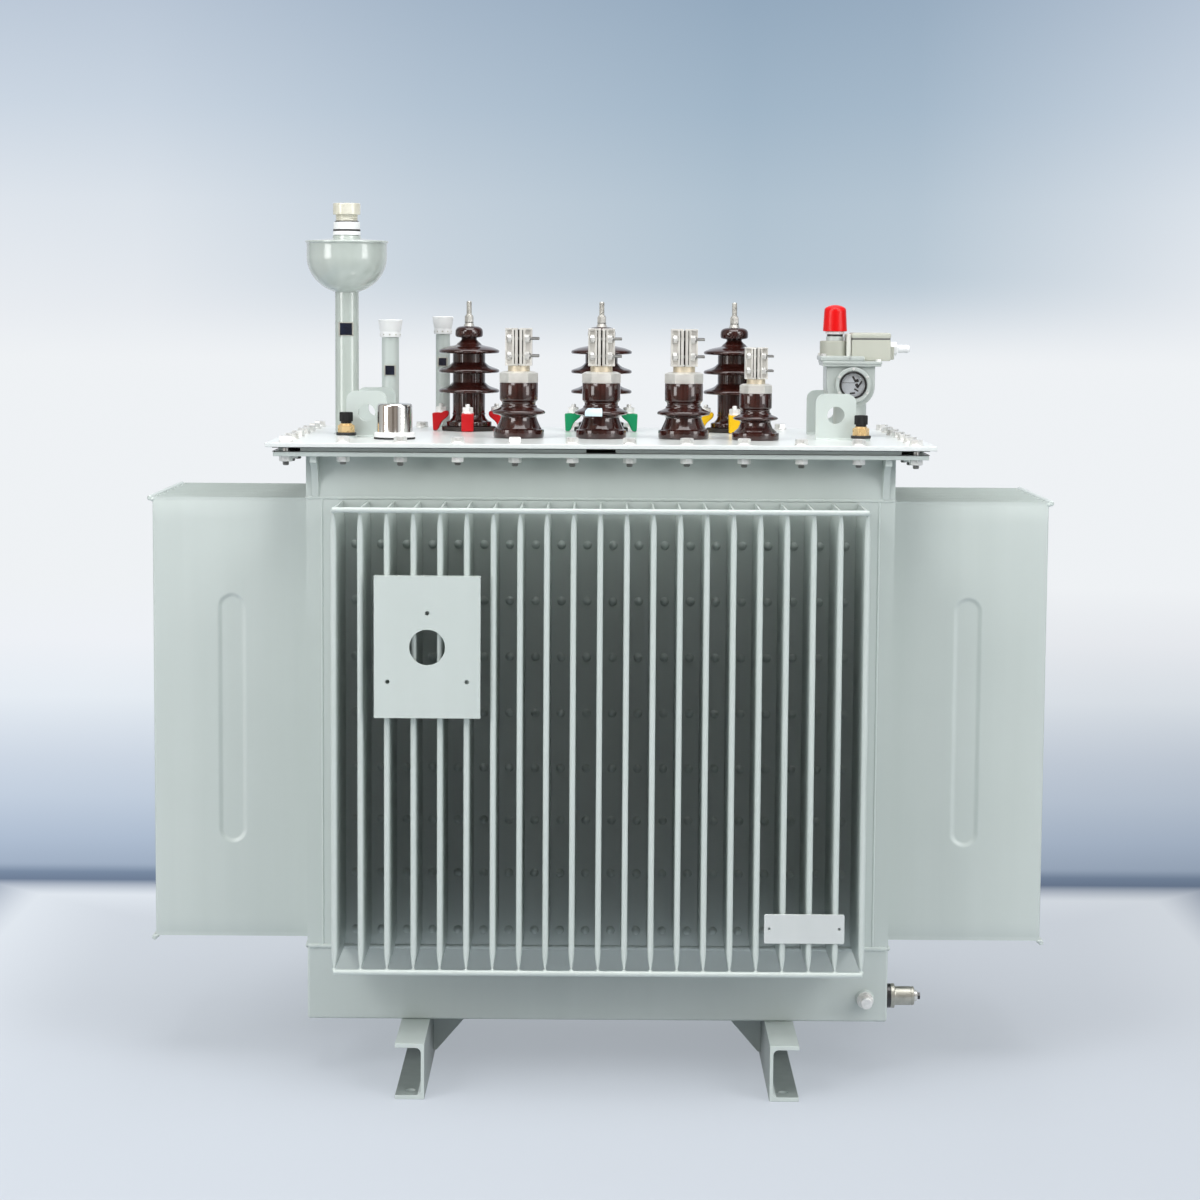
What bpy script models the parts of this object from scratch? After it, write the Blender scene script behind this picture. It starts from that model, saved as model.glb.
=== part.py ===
# Sealed oil-filled distribution transformer with corrugated fin walls.
# Metres, +Z up. The front, which carries the thermometer plate, faces -Y.
# Places are worked out from the middle of the tank, and one frame at the end sets the origin.

import math

import bmesh
import bpy
from mathutils import Matrix, Vector

for leftover in list(bpy.data.objects):
    bpy.data.objects.remove(leftover, do_unlink=True)

# Clearances and joints
seat_gap = 0.0003
cut_overrun = 0.004
fuse_depth = 0.002
weld_distance = 0.00001

# Tank shell
tank_width = 1.050
tank_depth = 0.580
trough_height = 0.134
trough_plate = 0.006
wall_height = 0.8115
wall_sheet = 0.006
band_height = 0.076
band_plate = 0.006
rim_thickness = 0.008
rim_overhang = 0.053
corner_gusset_thickness = 0.012
corner_gusset_reach = 0.044
corner_gusset_tip = 0.012
corner_gusset_inset = 0.011
limit_bar_width = 0.010
limit_bar_edge = 0.004
limit_bar_end = 0.048
limit_bar_split = 0.052

# Cover and its seal
gasket_thickness = 0.008
gasket_width = 0.022
cover_thickness = 0.008
cover_overhang = 0.066

# Pressed fins
fin_pitch = 0.046
fin_thickness = 0.010
fin_edge = 0.0032
fin_nose = 0.003
fin_bevel_share = 0.6
fin_foot_taper = 0.034
fin_head_taper = 0.042
fin_head_drop = 0.0055
front_fin_depth = 0.190
front_corner_strip = 0.060
side_fin_depth = 0.286
side_corner_strip = 0.080
rib_width = 0.0525
rib_length = 0.460
rib_depth = 0.004
rod_diameter = 0.0095
rod_foot_sink = 0.0041
rod_foot_tuck = 0.0020
rod_head_sink = 0.0021

# Skids
leg_height = 0.100
leg_width = 0.052
leg_web = 0.0065
leg_flange = 0.008
leg_fillet = 0.009
leg_length = 0.936
leg_spacing = 0.606
leg_hole_diameter = 0.018
leg_hole_end = 0.035
leg_hole_edge = 0.025
leg_brace_drop = 0.086
leg_brace_reach = 0.074
leg_brace_edge = 0.006
leg_brace_tip = 0.005
leg_brace_thickness = 0.008
leg_brace_inset = 0.120

# High-voltage bushings
hv_spacing_share = 0.2434
hv_row_share = 0.3017
hv_trunk_radius = 0.031
hv_neck_radius = 0.0155
hv_cap_radius = 0.0265
hv_cap_height = 0.0214
hv_cap_neck = 0.0145
hv_cap_crown_share = 0.5
hv_cap_shoulder_share = 0.62
hv_cap_skirt_share = 0.14
hv_shed_radius = 0.0583
hv_shed_edge = 0.0045
hv_shed_rise = 0.019
hv_shed_skirt = 0.002
hv_shed_pitch = 0.0385
hv_first_shed = 0.0746
hv_sheds = 3
hv_crown_radius = 0.0240
hv_crown_rise = 0.0135
hv_crown_brim_radius = 0.0472
hv_crown_brim_rise = 0.0084
hv_flange_radius = 0.044
hv_flange_height = 0.010
hv_ring_radius = 0.052
hv_ring_bore = 0.024
hv_ring_height = 0.0084
hv_finger_reach = 0.067
hv_finger_height = 0.033
hv_finger_arm = 0.0135
hv_finger_width = 0.0185
hv_finger_overlap = 0.006
hv_fingers = 4
hv_clamp_nut_flats = 0.017
hv_clamp_nut_place = 0.0535
hv_clamp_nut_top = 0.046
hv_clamp_stud_radius = 0.005
hv_clamp_stud_top = 0.0525
hv_stud_radius = 0.0052
hv_stud_length = 0.0475
hv_nut_flats = 0.015
hv_nut_height = 0.0151
hv_stud_collar = 0.0105
hv_stud_collar_height = 0.0066

# Low-voltage bushings and their clamps
lv_spacing_share = 0.1443
lv_row_share = 0.1897
lv_base_radius = 0.048
lv_base_foot = 0.040
lv_base_chamfer = 0.008
lv_base_height = 0.0175
lv_waist_radius = 0.033
lv_waist_bottom = 0.034
lv_shed_radius = 0.0506
lv_shed_height = 0.048
lv_shed_edge = 0.0035
lv_shed_slope = 0.0105
lv_neck_radius = 0.0316
lv_neck_height = 0.0665
lv_drum_radius = 0.0353
lv_drum_height = 0.0315
lv_nut_flats = 0.057
lv_nut_height = 0.0205
lv_collar_radius = 0.0168
lv_collar_height = 0.0105
lv_clamp_width = 0.0515
lv_clamp_depth = 0.034
lv_clamp_height = 0.0685
lv_clamp_slot = 0.0035
lv_clamp_rib = 0.009
lv_clamp_rib_stand = 0.007
lv_clamp_floor = 0.006
lv_bolt_radius = 0.004
lv_bolt_reach = 0.012
lv_bolt_end = 0.020
neutral_place_share = 0.2686
neutral_row_share = 0.2414
neutral_share = 0.84

# Lifting lugs
lug_width = 0.074
lug_height = 0.084
lug_thickness = 0.010
lug_corner = 0.016
lug_hole_radius = 0.016
lug_hole_height = 0.045
lug_inset = 0.161
lug_gauge_share = 0.4138

# Expansion bowl and its breather
bowl_inset = 0.115
bowl_radius = 0.075
bowl_pipe_radius = 0.0222
bowl_pipe_height = 0.2645
bowl_height = 0.0916
bowl_straight = 0.026
bowl_rim_width = 0.0027
bowl_rim_height = 0.0035
bowl_lid_radius = 0.026
bowl_lid_height = 0.010
breather_radius = 0.0255
breather_height = 0.0588
breather_lip_share = 0.94
breather_shoulder_share = 0.95
breather_waist_share = 0.9
breather_groove_shares = (0.62, 0.58, 0.34, 0.30)
sight_width_bowl = 0.024
sight_height_bowl = 0.0235
sight_place_bowl = 0.196
sight_depth = 0.003

# Oil gauges
gauge_inset_a = 0.182
gauge_back_a = 0.156
gauge_radius_a = 0.0167
gauge_height_a = 0.178
gauge_sight_a = 0.115
gauge_inset_b = 0.280
gauge_back_b = 0.086
gauge_radius_b = 0.0140
gauge_height_b = 0.184
gauge_sight_b = 0.1305
gauge_sight_share = 1.16
gauge_cap_height = 0.034
gauge_cap_flare = 0.0070
gauge_cap_wall = 0.0025
gauge_cap_collar = 0.009

# Tap changer cap and vent plugs
tap_inset = 0.217
tap_clearance = 0.0275
tap_radius = 0.032
tap_height = 0.053
tap_base_radius = 0.0375
tap_base_height = 0.0115
vent_inset_left = 0.126
vent_inset_right = 0.117
vent_clearance = 0.006
vent_washer_radius = 0.019
vent_washer_height = 0.0065
vent_hex_flats = 0.028
vent_hex_height = 0.022
vent_cap_radius = 0.0122
vent_cap_height = 0.0185

# Protection relay
relay_inset = 0.1285
relay_row = 0.030
relay_neck_radius = 0.031
relay_neck_height = 0.056
relay_width = 0.0975
relay_depth = 0.090
relay_height = 0.0762
relay_corner = 0.039
relay_flange_width = 0.119
relay_flange_depth = 0.110
relay_flange_height = 0.0098
relay_plate_left = 0.0631
relay_plate_right = 0.003
relay_plate_depth = 0.100
relay_plate_height = 0.0095
relay_drum_radius = 0.0265
relay_drum_height = 0.0278
relay_drum_offset = 0.028
relay_window_radius = 0.0335
relay_window_stand = 0.008
relay_window_height = 0.0417
relay_window_offset = 0.0053
relay_window_bore = 0.0235
relay_window_sink = 0.004
relay_box_width = 0.0726
relay_box_depth = 0.070
relay_box_height = 0.0522
relay_box_offset = 0.004
relay_gland_radius = 0.0075
relay_gland_reach = 0.0387
relay_gland_height = 0.0224
red_cap_stem = 0.016
red_cap_stem_height = 0.0177
red_cap_radius = 0.0214
red_cap_top = 0.0194
red_cap_height = 0.0489
red_cap_crown_share = 0.62
red_cap_shoulder_share = 0.86

# Plates on the front fins
thermo_width = 0.1835
thermo_height = 0.246
thermo_sheet = 0.003
thermo_return = 0.016
thermo_inset = 0.228
thermo_drop = 0.120
thermo_hole_radius = 0.031
thermo_screw_radius = 0.004
thermo_screw_top = 0.059
thermo_screw_side = 0.0685
thermo_screw_low = 0.060
nameplate_width = 0.140
nameplate_height = 0.052
nameplate_sheet = 0.002
nameplate_inset = 0.1655
nameplate_rise = 0.051
nameplate_hole_radius = 0.0025
nameplate_hole_edge = 0.009

# Fittings on the trough
drain_front = 0.060
drain_height = 0.035
drain_flange_radius = 0.0225
drain_flange_length = 0.0181
drain_body_radius = 0.0172
drain_body_length = 0.0359
drain_plug_radius = 0.0095
drain_plug_length = 0.0116
earth_inset = 0.041
earth_height = 0.043
earth_boss_radius = 0.016
earth_boss_length = 0.012
earth_nut_flats = 0.026
earth_nut_length = 0.014
earth_stud_radius = 0.0075
earth_stud_length = 0.016

# Facets on round pieces, and the angle above which an edge stays sharp
hexagon_sides = 6
rod_sides = 8
small_sides = 12
round_sides = 16
wide_sides = 24
corner_steps = 4
bowl_steps = 6
crease_angle = math.radians(40)

# Levels and edges that follow from the sizes above
half_width = tank_width / 2
half_depth = tank_depth / 2
trough_bottom = leg_height + seat_gap
trough_top = trough_bottom + trough_height
wall_bottom = trough_top + seat_gap
wall_top = wall_bottom + wall_height
band_bottom = wall_top + seat_gap
band_top = band_bottom + band_height
rim_top = band_top + rim_thickness
gasket_bottom = rim_top + seat_gap
cover_bottom = gasket_bottom + gasket_thickness + seat_gap
cover_top = cover_bottom + cover_thickness
seat = cover_top + seat_gap
cover_half_width = half_width + cover_overhang
cover_half_depth = half_depth + cover_overhang
nose_front = half_depth + front_fin_depth
half_turn = math.radians(180)
quarter_turn = math.radians(90)
hexagon_half_angle = math.radians(30)

# Places on the cover and on the front fins, which follow the tank when its size changes
hv_spacing = tank_width * hv_spacing_share
hv_row = tank_depth * hv_row_share
lv_spacing = tank_width * lv_spacing_share
lv_row = tank_depth * lv_row_share
neutral_place = tank_width * neutral_place_share
neutral_row = tank_depth * neutral_row_share
lug_gauge = tank_depth * lug_gauge_share
lug_front_face = -(lug_gauge + lug_thickness) / 2
tap_place = lug_front_face - tap_base_radius - tap_clearance
vent_place = lug_front_face - vent_washer_radius - vent_clearance
thermo_centre = half_width - thermo_inset
nameplate_centre = half_width - nameplate_inset

# An outline drawn flat stands up in X and Z, or in Y and Z
facing_front = Matrix.Rotation(quarter_turn, 4, 'X')
facing_side = Matrix.Rotation(quarter_turn, 4, 'Z') @ facing_front


# Collections, finishes and small shape makers

parts = bpy.data.collections.new('Power transformer')
bpy.context.scene.collection.children.link(parts)
cutters = bpy.data.collections.new('Joined and cut shapes')
bpy.context.scene.collection.children.link(cutters)


def finish(name, colour, roughness, metallic=0.0):
    """A plain painted, metal or glazed surface."""
    surface = bpy.data.materials.new(name)
    surface.use_nodes = True
    shader = surface.node_tree.nodes['Principled BSDF']
    shader.inputs['Base Color'].default_value = (*colour, 1.0)
    shader.inputs['Roughness'].default_value = roughness
    shader.inputs['Metallic'].default_value = metallic
    return surface


tank_paint = finish('tank paint', (0.56, 0.62, 0.58), 0.35)
seal_rubber = finish('seal rubber', (0.03, 0.03, 0.03), 0.7)
brown_glaze = finish('brown glaze', (0.09, 0.03, 0.025), 0.12)
zinc_plate = finish('zinc plate', (0.72, 0.72, 0.70), 0.35, 1.0)
tinned_brass = finish('tinned brass', (0.78, 0.76, 0.70), 0.3, 1.0)
polished_steel = finish('polished steel', (0.80, 0.80, 0.80), 0.08, 1.0)
white_plastic = finish('white plastic', (0.85, 0.86, 0.86), 0.4)
clear_plastic = finish('clear plastic', (0.75, 0.74, 0.66), 0.15)
yellow_brass = finish('yellow brass', (0.78, 0.55, 0.22), 0.3, 1.0)
beige_plastic = finish('beige plastic', (0.62, 0.62, 0.55), 0.45)
red_plastic = finish('red plastic', (0.75, 0.02, 0.02), 0.3)
dark_steel = finish('dark steel', (0.20, 0.20, 0.20), 0.45, 1.0)


def add(name, mesh, surface, matrix=None, collection=None):
    """Put a mesh in the scene as a named object."""
    body = bpy.data.objects.new(name, mesh)
    body.matrix_world = matrix or Matrix.Identity(4)
    if surface is not None:
        mesh.materials.append(surface)
    (collection or parts).objects.link(body)
    return body


def mesh_from(name, shape):
    """Turn a bmesh into a mesh with its faces pointing out."""
    bmesh.ops.recalc_face_normals(shape, faces=shape.faces)
    mesh = bpy.data.meshes.new(name)
    shape.to_mesh(mesh)
    shape.free()
    return mesh


def smooth(body, angle=crease_angle):
    """Shade a round piece smooth, with its corners kept sharp."""
    body.data.shade_smooth()
    body.data.set_sharp_from_angle(angle=angle)
    return body


def block(name, size, centre, surface=None, matrix=None):
    """A box from its size and the place of its middle."""
    shape = bmesh.new()
    bmesh.ops.create_cube(shape, size=1)
    bmesh.ops.scale(shape, vec=size, verts=shape.verts)
    bmesh.ops.translate(shape, vec=centre, verts=shape.verts)
    return add(name, mesh_from(name, shape), surface, matrix)


def cylinder(name, radius, length, foot, sides, surface=None, turn=None, top_radius=None):
    """A round bar that stands on its foot, or leans as its turn says."""
    shape = bmesh.new()
    tip = radius if top_radius is None else top_radius
    bmesh.ops.create_cone(shape, cap_ends=True, segments=sides, radius1=radius, radius2=tip, depth=length)
    bmesh.ops.translate(shape, vec=(0, 0, length / 2), verts=shape.verts)
    matrix = Matrix.Translation(foot) @ (turn or Matrix.Identity(4))
    body = add(name, mesh_from(name, shape), surface, matrix)
    if sides > hexagon_sides:
        smooth(body)
    return body


def turned(name, outline, foot, sides, surface=None, turn=None, ring=False):
    """A turned piece: the outline of radius and height runs from top to bottom outside."""
    mesh = bpy.data.meshes.new(name)
    points = [(radius, 0, height) for radius, height in outline]
    edges = [(step, step + 1) for step in range(len(points) - 1)]
    if ring:
        edges.append((len(points) - 1, 0))
    mesh.from_pydata(points, edges, [])
    body = add(name, mesh, surface, Matrix.Translation(foot) @ (turn or Matrix.Identity(4)))
    screw = body.modifiers.new('Turn', 'SCREW')
    screw.steps = sides
    screw.render_steps = sides
    screw.use_merge_vertices = True
    screw.merge_threshold = weld_distance
    screw.use_smooth_shade = True
    return body


def flat_piece(name, outlines, thickness, surface=None, matrix=None):
    """A plate from closed outlines, the first outside and the others holes in it."""
    curve = bpy.data.curves.new(name, 'CURVE')
    curve.dimensions = '2D'
    curve.fill_mode = 'BOTH'
    curve.extrude = thickness / 2
    curve.render_resolution_u = 0
    for outline in outlines:
        spline = curve.splines.new('POLY')
        spline.points.add(len(outline) - 1)
        for point, (across, up) in zip(spline.points, outline):
            point.co = (across, up, 0, 1)
        spline.use_cyclic_u = True
    drawn = bpy.data.objects.new(name + ' outline', curve)
    parts.objects.link(drawn)
    bpy.context.view_layer.update()
    evaluated = drawn.evaluated_get(bpy.context.evaluated_depsgraph_get())
    mesh = bpy.data.meshes.new_from_object(evaluated)
    mesh.materials.clear()
    shape = bmesh.new()
    shape.from_mesh(mesh)
    bmesh.ops.remove_doubles(shape, verts=shape.verts, dist=weld_distance)
    bmesh.ops.recalc_face_normals(shape, faces=shape.faces)
    shape.to_mesh(mesh)
    shape.free()
    bpy.data.objects.remove(drawn, do_unlink=True)
    return add(name, mesh, surface, matrix)


def join(body, other, operation='UNION'):
    """Fuse another shape to a piece, or cut it out with DIFFERENCE."""
    for home in list(other.users_collection):
        home.objects.unlink(other)
    cutters.objects.link(other)
    other.hide_render = True
    other.display_type = 'WIRE'
    step = body.modifiers.new(other.name, 'BOOLEAN')
    step.operation = operation
    step.solver = 'EXACT'
    step.object = other
    return body


def cut(body, other):
    return join(body, other, 'DIFFERENCE')


def arc(centre, radius, start, end, steps):
    """Points along an arc, with both its ends."""
    angles = [start + (end - start) * step / steps for step in range(steps + 1)]
    return [(centre[0] + radius * math.cos(angle), centre[1] + radius * math.sin(angle)) for angle in angles]


def circle(centre, radius, sides):
    return arc(centre, radius, 0, 2 * half_turn, sides)[:-1]


def rounded_box(width, bottom, top, radius, steps, round_bottom=False):
    """A rectangle with round top corners, and round bottom ones where asked."""
    side = width / 2 - radius
    outline = arc((side, top - radius), radius, 0, quarter_turn, steps)
    outline += arc((-side, top - radius), radius, quarter_turn, half_turn, steps)
    if round_bottom:
        outline += arc((-side, bottom + radius), radius, half_turn, half_turn + quarter_turn, steps)
        outline += arc((side, bottom + radius), radius, -quarter_turn, 0, steps)
    else:
        outline += [(-width / 2, bottom), (width / 2, bottom)]
    return outline


# Bottom trough of the tank, open at the top

trough = block(
    'bottom_frame',
    (tank_width, tank_depth, trough_height),
    (0, 0, trough_bottom + trough_height / 2),
    tank_paint,
)
trough_hollow = block(
    'trough hollow',
    (tank_width - 2 * trough_plate, tank_depth - 2 * trough_plate, trough_height),
    (0, 0, trough_bottom + trough_height / 2 + trough_plate),
)
cut(trough, trough_hollow)


# Corrugated walls: a sheet with a row of fins that are pinched flat at head and foot

def fin_section(thickness, depth, height):
    """One level of a fin, from its root in the sheet to its bevelled nose."""
    half = thickness / 2
    bevel = min(fin_nose, half * fin_bevel_share)
    root = wall_sheet / 2
    nose = -depth
    return [
        Vector((-half, root, height)),
        Vector((-half, nose + bevel, height)),
        Vector((-half + bevel, nose, height)),
        Vector((half - bevel, nose, height)),
        Vector((half, nose + bevel, height)),
        Vector((half, root, height)),
    ]


def fin_row(name, count, depth):
    """Fins made as a loft through four levels and repeated at the pitch."""
    fin_height = wall_height - fin_head_drop
    levels = [
        fin_section(fin_edge, depth, 0),
        fin_section(fin_thickness, depth, fin_foot_taper),
        fin_section(fin_thickness, depth, fin_height - fin_head_taper),
        fin_section(fin_edge, depth, fin_height),
    ]
    shape = bmesh.new()
    rings = [[shape.verts.new(point) for point in level] for level in levels]
    for lower, upper in zip(rings, rings[1:]):
        for here in range(len(lower)):
            after = (here + 1) % len(lower)
            shape.faces.new((lower[here], lower[after], upper[after], upper[here]))
    shape.faces.new(rings[0][::-1])
    shape.faces.new(rings[-1])
    span = (count - 1) * fin_pitch
    bmesh.ops.translate(shape, vec=(-span / 2, 0, 0), verts=shape.verts)
    row = add(name, mesh_from(name, shape), None)
    repeat = row.modifiers.new('Pitch', 'ARRAY')
    repeat.count = count
    repeat.use_relative_offset = False
    repeat.use_constant_offset = True
    repeat.constant_offset_displace = (fin_pitch, 0, 0)
    return row


def fin_wall(side, sheet_width, strip, tank_side, depth, turn):
    """A wall that faces its side of the tank, with its fins, pressed ribs and rods."""
    count = int((tank_side - 2 * strip) / fin_pitch) + 1
    half_span = (count - 1) * fin_pitch / 2
    out = Matrix.Rotation(turn, 4, 'Z')
    distance = half_depth if side in ('front', 'back') else half_width
    place = out @ Matrix.Translation((0, -distance, wall_bottom))
    sheet = block(
        side + '_fin_wall',
        (sheet_width, wall_sheet, wall_height),
        (0, wall_sheet / 2, wall_height / 2),
        tank_paint,
        place,
    )
    fins = fin_row(side + ' fins', count, depth)
    fins.matrix_world = place
    join(sheet, fins)
    fin_middle = (wall_height - fin_head_drop) / 2
    for hand in (-1, 1):
        rib = flat_piece(
            side + ' pressed rib',
            [rounded_box(rib_width, -rib_length / 2, rib_length / 2, rib_width / 2, corner_steps, True)],
            2 * rib_depth,
            None,
            place
            @ Matrix.Translation((hand * (half_span + fin_thickness / 2), -depth / 2, fin_middle))
            @ facing_side,
        )
        cut(sheet, rib)
    for level, height, tuck in (
        ('lower', -rod_foot_sink, rod_foot_tuck),
        ('upper', wall_height - fin_head_drop - rod_head_sink, 0),
    ):
        length = 2 * half_span + fin_edge
        end = place @ Vector((-length / 2, -depth - seat_gap - rod_diameter / 2 + tuck, height))
        along = out @ Matrix.Rotation(quarter_turn, 4, 'Y')
        cylinder(side + '_' + level + '_rod', rod_diameter / 2, length, end, rod_sides, tank_paint, along)


side_sheet = tank_depth - 2 * wall_sheet - 2 * seat_gap
fin_wall('front', tank_width, front_corner_strip, tank_width, front_fin_depth, 0)
fin_wall('back', tank_width, front_corner_strip, tank_width, front_fin_depth, half_turn)
fin_wall('left', side_sheet, side_corner_strip, tank_depth, side_fin_depth, -quarter_turn)
fin_wall('right', side_sheet, side_corner_strip, tank_depth, side_fin_depth, quarter_turn)


# Upper band of the tank with its rim flange, corner gussets and the bars that limit the seal

upper = block(
    'upper_frame',
    (tank_width, tank_depth, band_height),
    (0, 0, band_bottom + band_height / 2),
    tank_paint,
)
rim = block(
    'rim flange',
    (tank_width + 2 * rim_overhang, tank_depth + 2 * rim_overhang, rim_thickness),
    (0, 0, band_top + rim_thickness / 2),
)
join(upper, rim)
gusset_top = band_top + fuse_depth
gusset_bottom = band_bottom + fuse_depth
gusset_sweep = arc((0, 0), 1, quarter_turn, 0, corner_steps)
for face in (-1, 1):
    for hand in (-1, 1):
        edge = [
            (
                half_depth + corner_gusset_reach - (corner_gusset_reach - fuse_depth) * across,
                gusset_bottom + (band_top - corner_gusset_tip - gusset_bottom) * up,
            )
            for across, up in gusset_sweep
        ]
        outline = edge + [
            (half_depth - fuse_depth, gusset_bottom),
            (half_depth - fuse_depth, gusset_top),
            (half_depth + corner_gusset_reach, gusset_top),
        ]
        gusset = flat_piece(
            'corner gusset',
            [[(face * across, up) for across, up in outline]],
            corner_gusset_thickness,
            None,
            Matrix.Translation((hand * (half_width - corner_gusset_inset - corner_gusset_thickness / 2), 0, 0))
            @ facing_side,
        )
        join(upper, gusset)
        bar_end = half_width + rim_overhang - limit_bar_end
        bar_length = bar_end - limit_bar_split / 2
        bar_place = half_depth + rim_overhang - limit_bar_edge - limit_bar_width / 2
        bar = block(
            'limit bar',
            (bar_length, limit_bar_width, gasket_thickness + fuse_depth),
            (
                hand * (limit_bar_split / 2 + bar_length / 2),
                face * bar_place,
                gasket_bottom + gasket_thickness / 2 - fuse_depth / 2,
            ),
        )
        join(upper, bar)
    side_bar = block(
        'side limit bar',
        (limit_bar_width, tank_depth, gasket_thickness + fuse_depth),
        (
            face * (half_width + rim_overhang - limit_bar_edge - limit_bar_width / 2),
            0,
            gasket_bottom + gasket_thickness / 2 - fuse_depth / 2,
        ),
    )
    join(upper, side_bar)
upper_hollow = block(
    'upper hollow',
    (tank_width - 2 * band_plate, tank_depth - 2 * band_plate, band_height + rim_thickness + 2 * cut_overrun),
    (0, 0, band_bottom + (band_height + rim_thickness) / 2),
)
cut(upper, upper_hollow)


# Seal and cover plate

gasket_inner_width = tank_width - 2 * band_plate
gasket_inner_depth = tank_depth - 2 * band_plate
gasket = block(
    'cover_gasket',
    (gasket_inner_width + 2 * gasket_width, gasket_inner_depth + 2 * gasket_width, gasket_thickness),
    (0, 0, gasket_bottom + gasket_thickness / 2),
    seal_rubber,
)
gasket_hollow = block(
    'gasket hollow',
    (gasket_inner_width, gasket_inner_depth, gasket_thickness + 2 * cut_overrun),
    (0, 0, gasket_bottom + gasket_thickness / 2),
)
cut(gasket, gasket_hollow)
block(
    'cover_plate',
    (2 * cover_half_width, 2 * cover_half_depth, cover_thickness),
    (0, 0, cover_bottom + cover_thickness / 2),
    tank_paint,
)


# Skids: rolled channels with their webs inside, braced to the tank bottom

def channel_outline():
    """A C section whose web stands at zero and whose flanges reach out along X."""
    root = leg_web + leg_fillet
    low = arc((root, leg_flange + leg_fillet), leg_fillet, -quarter_turn, -half_turn, corner_steps)
    high = arc((root, leg_height - leg_flange - leg_fillet), leg_fillet, half_turn, quarter_turn, corner_steps)
    return (
        [(0, 0), (leg_width, 0), (leg_width, leg_flange)]
        + low
        + high
        + [(leg_width, leg_height - leg_flange), (leg_width, leg_height), (0, leg_height)]
    )


def leg(name, hand):
    outline = [(hand * across, up) for across, up in channel_outline()]
    web = hand * leg_spacing / 2
    skid = flat_piece(
        name, [outline], leg_length, tank_paint, Matrix.Translation((web, 0, 0)) @ facing_front
    )
    brace_low = leg_height - leg_brace_drop
    brace_outline = [
        (hand * fuse_depth, brace_low),
        (hand * fuse_depth, leg_height),
        (-hand * leg_brace_reach, leg_height),
        (-hand * leg_brace_reach, leg_height - leg_brace_edge),
        (-hand * leg_brace_tip, brace_low),
    ]
    for end in (-1, 1):
        hole = cylinder(
            'foot hole',
            leg_hole_diameter / 2,
            leg_flange + 2 * cut_overrun,
            (
                hand * (leg_spacing / 2 + leg_width - leg_hole_edge),
                end * (leg_length / 2 - leg_hole_end),
                -cut_overrun,
            ),
            small_sides,
        )
        cut(skid, hole)
        brace = flat_piece(
            'leg brace',
            [brace_outline],
            leg_brace_thickness,
            None,
            Matrix.Translation((web, end * (half_depth - leg_brace_inset), 0)) @ facing_front,
        )
        join(skid, brace)
    return skid


leg('left_leg', -1)
leg('right_leg', 1)


# High-voltage bushings: three sheds on a trunk, held by a ring with four fingers

def hv_outline():
    """Radius and height from the top of the porcelain down to its flange."""
    cap_bottom = hv_top() - hv_cap_height
    outline = [
        (0, hv_top()),
        (hv_cap_radius * hv_cap_crown_share, hv_top()),
        (hv_cap_radius, cap_bottom + hv_cap_height * hv_cap_shoulder_share),
        (hv_cap_radius, cap_bottom + hv_cap_height * hv_cap_skirt_share),
        (hv_neck_radius, cap_bottom),
    ]
    for shed in reversed(range(hv_sheds)):
        edge = hv_first_shed + shed * hv_shed_pitch
        if shed == hv_sheds - 1:
            outline += [
                (hv_crown_radius, edge + hv_crown_rise),
                (hv_crown_brim_radius, edge + hv_crown_brim_rise),
            ]
        else:
            outline += [
                (hv_trunk_radius, edge + hv_shed_rise),
                ((hv_trunk_radius + hv_shed_radius) / 2, edge + hv_shed_rise / 2),
            ]
        outline += [
            (hv_shed_radius, edge + hv_shed_edge),
            (hv_shed_radius, edge),
            (hv_trunk_radius, edge - hv_shed_skirt),
        ]
    flange_top = hv_ring_height + hv_flange_height
    outline += [
        (hv_trunk_radius, flange_top + hv_flange_height),
        (hv_flange_radius - hv_finger_overlap - 2 * seat_gap, flange_top),
        (hv_flange_radius, flange_top),
        (hv_flange_radius, hv_ring_height + seat_gap),
        (0, hv_ring_height + seat_gap),
    ]
    return outline


def hv_top():
    top_shed = hv_first_shed + (hv_sheds - 1) * hv_shed_pitch
    return top_shed + hv_crown_rise + hv_cap_neck + hv_cap_height


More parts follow.
